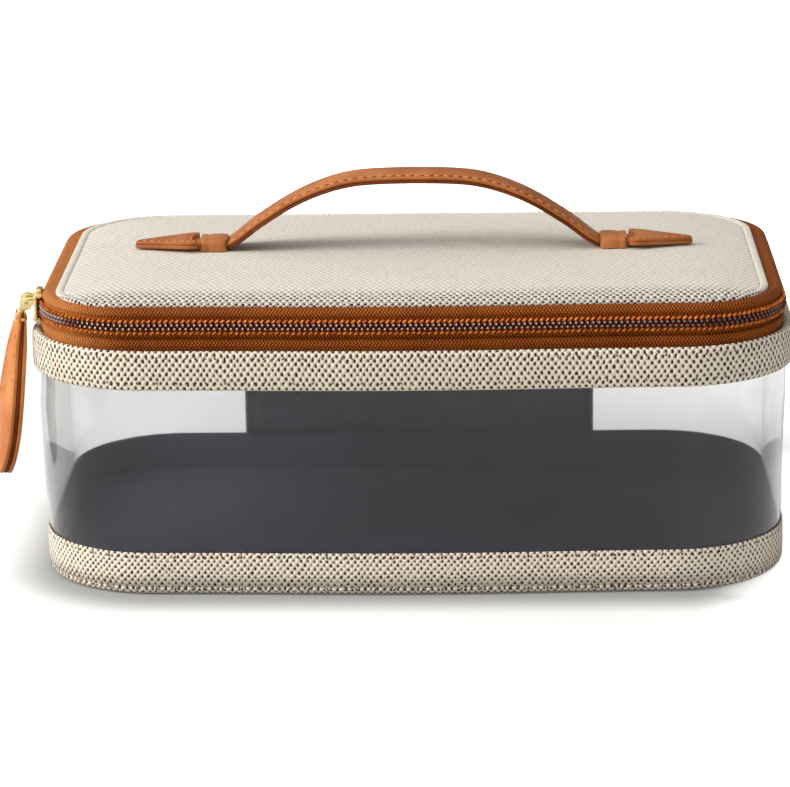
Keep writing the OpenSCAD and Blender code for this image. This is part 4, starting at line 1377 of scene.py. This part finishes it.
bm = bmesh.new()
for side in (-1, 1):
    for k in range(15):
        y = 6.5 * MM + k * 2.9 * MM
        x, x_next = (side * (pull_half_width(d) - 1.7 * MM) for d in (y, y + 1 * MM))
        for look in (1, -1):
            pull_stitch(bm, x, y, (x_next - x, 1 * MM, 0), look, (2.0, 0.8, 0.6))
for x in (-2.2 * MM, 0.0, 2.2 * MM):
    pull_stitch(bm, x, 5.0 * MM, (1, 0, 0), 1, (1.7, 0.5, 0.4))
piece("pull_stitches", bm, "pull_tab", thread, bowed=False, flip=False)

# %% [markdown]
# ## Finish the hidden parts
#
# Boards, foam and zip stops keep their own meshes and only need their true materials.

# %% Materials for the frame's own parts
for names, material in (
    (("base_board", "back_panel_board", "lid_board", "handle_backing"), card),
    (("lid_foam",), foam),
    (("zip_stops_lower", "zip_stops_upper"), gold),
):
    for name in names:
        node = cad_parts[name]
        node.data.materials.clear()
        node.data.materials.append(material)

# %% [markdown]
# ## Floor and light
#
# The case stands on a white sweep in soft light. The floor shows the camera a plain white
# and still takes the case's shadow, because only part of its brightness is its own. Close
# round the case a painted shadow darkens it, and on the right it is painted bright over the lamp's shadow.

# %% Floor
def plainly_seen(wires):
    """1 for what the camera sees directly or through the vinyl, 0 for light on its way."""
    path = wires.add("ShaderNodeLightPath").outputs
    through = wires.times(path["Is Transmission Ray"], wires.math("LESS_THAN", path["Diffuse Depth"], 0.5))
    return wires.math("MAXIMUM", path["Is Camera Ray"], through)


bm = bmesh.new()
bmesh.ops.create_grid(bm, x_segments=1, y_segments=1, size=6.0)
mesh = bpy.data.meshes.new("white_floor")
bm.to_mesh(mesh)
bm.free()
floor = bpy.data.objects.new("white_floor", mesh)
add_to_scene(floor)
material, wires, shader = new_material("white_floor")
mesh.materials.append(material)
place = wires.place()
# Painted shadow: close round the case's outline, a little to its front, the floor's colour and glow are darkened.
core = (WALL_PLAN[0] / 2 - WALL_PLAN[2], WALL_PLAN[1] / 2 - WALL_PLAN[2], 1.0)
beside = wires.vector("ABSOLUTE", wires.vector("SUBTRACT", place, (0, -6 * MM, 0)))
beside = wires.vector("MAXIMUM", wires.vector("SUBTRACT", beside, core), (0, 0, 0))
gap = wires.minus(wires.vector("LENGTH", beside, out="Value"), WALL_PLAN[2])
spot = wires.split(place)
# Painted light: on the right of the case the floor is painted bright over the lamp's shadow.
clear = wires.times(wires.ramp(spot[0], 80 * MM, 128 * MM, 0.0, 0.9), wires.ramp(spot[1], 60 * MM, 140 * MM, 1.0, 0.0))
near = wires.math("MAXIMUM", wires.ramp(gap, -4 * MM, 19 * MM, 0.42, 1.0), clear)
away = wires.vector("DISTANCE", place, (-120 * MM, 0, 0), out="Value")
own = wires.math("MAXIMUM", wires.ramp(away, 0.2, 0.5, 0.18, 1.0), wires.times(clear, 0.9))
own = wires.times(plainly_seen(wires), wires.times(own, near))
white = wires.mix(near, (0, 0, 0, 1), (0.8, 0.8, 0.79, 1))
wires.feed(shader, {"Base Color": white, "Roughness": 0.9, "Specular IOR Level": 0.1})
glow = wires.add("ShaderNodeEmission", {"Color": (1, 1, 0.99, 1), "Strength": own})
wires.surface(wires.add("ShaderNodeAddShader", {0: shader.outputs[0], 1: glow.outputs[0]}))

# %% World and lamps
world = bpy.data.worlds.new("studio")
bpy.context.scene.world = world
world.use_nodes = True
wires = Wires(world.node_tree)
look = wires.split(wires.add("ShaderNodeTexCoord").outputs["Generated"])
left, above = wires.ramp(look[0], 0.2, -0.9, 0.0, 0.45), wires.ramp(look[2], 0.1, 0.9, 0.0, 0.3)
room = wires.plus(0.18, wires.plus(left, above))
bright = wires.math("MAXIMUM", plainly_seen(wires), room)
wires.feed(world.node_tree.nodes["Background"], {"Color": (1, 1, 1, 1), "Strength": bright})


def lamp(name, place, size, watts, colour=(1, 1, 1)):
    data = bpy.data.lights.new(name, "AREA")
    data.shape, data.size, data.energy, data.color = "SQUARE", size, watts, colour
    obj = bpy.data.objects.new(name, data)
    add_to_scene(obj)
    obj.location = place
    obj.rotation_euler = (Vector((0, 0, 0.06)) - Vector(place)).to_track_quat("-Z", "Y").to_euler()


lamp("key", (-1.3, -0.35, 0.8), 0.6, 17, (1.0, 0.99, 0.97))
lamp("fill", (0.9, -1.2, 0.5), 0.9, 2)
lamp("top", (-0.12, -0.25, 1.3), 1.2, 5)
print("lamps placed")
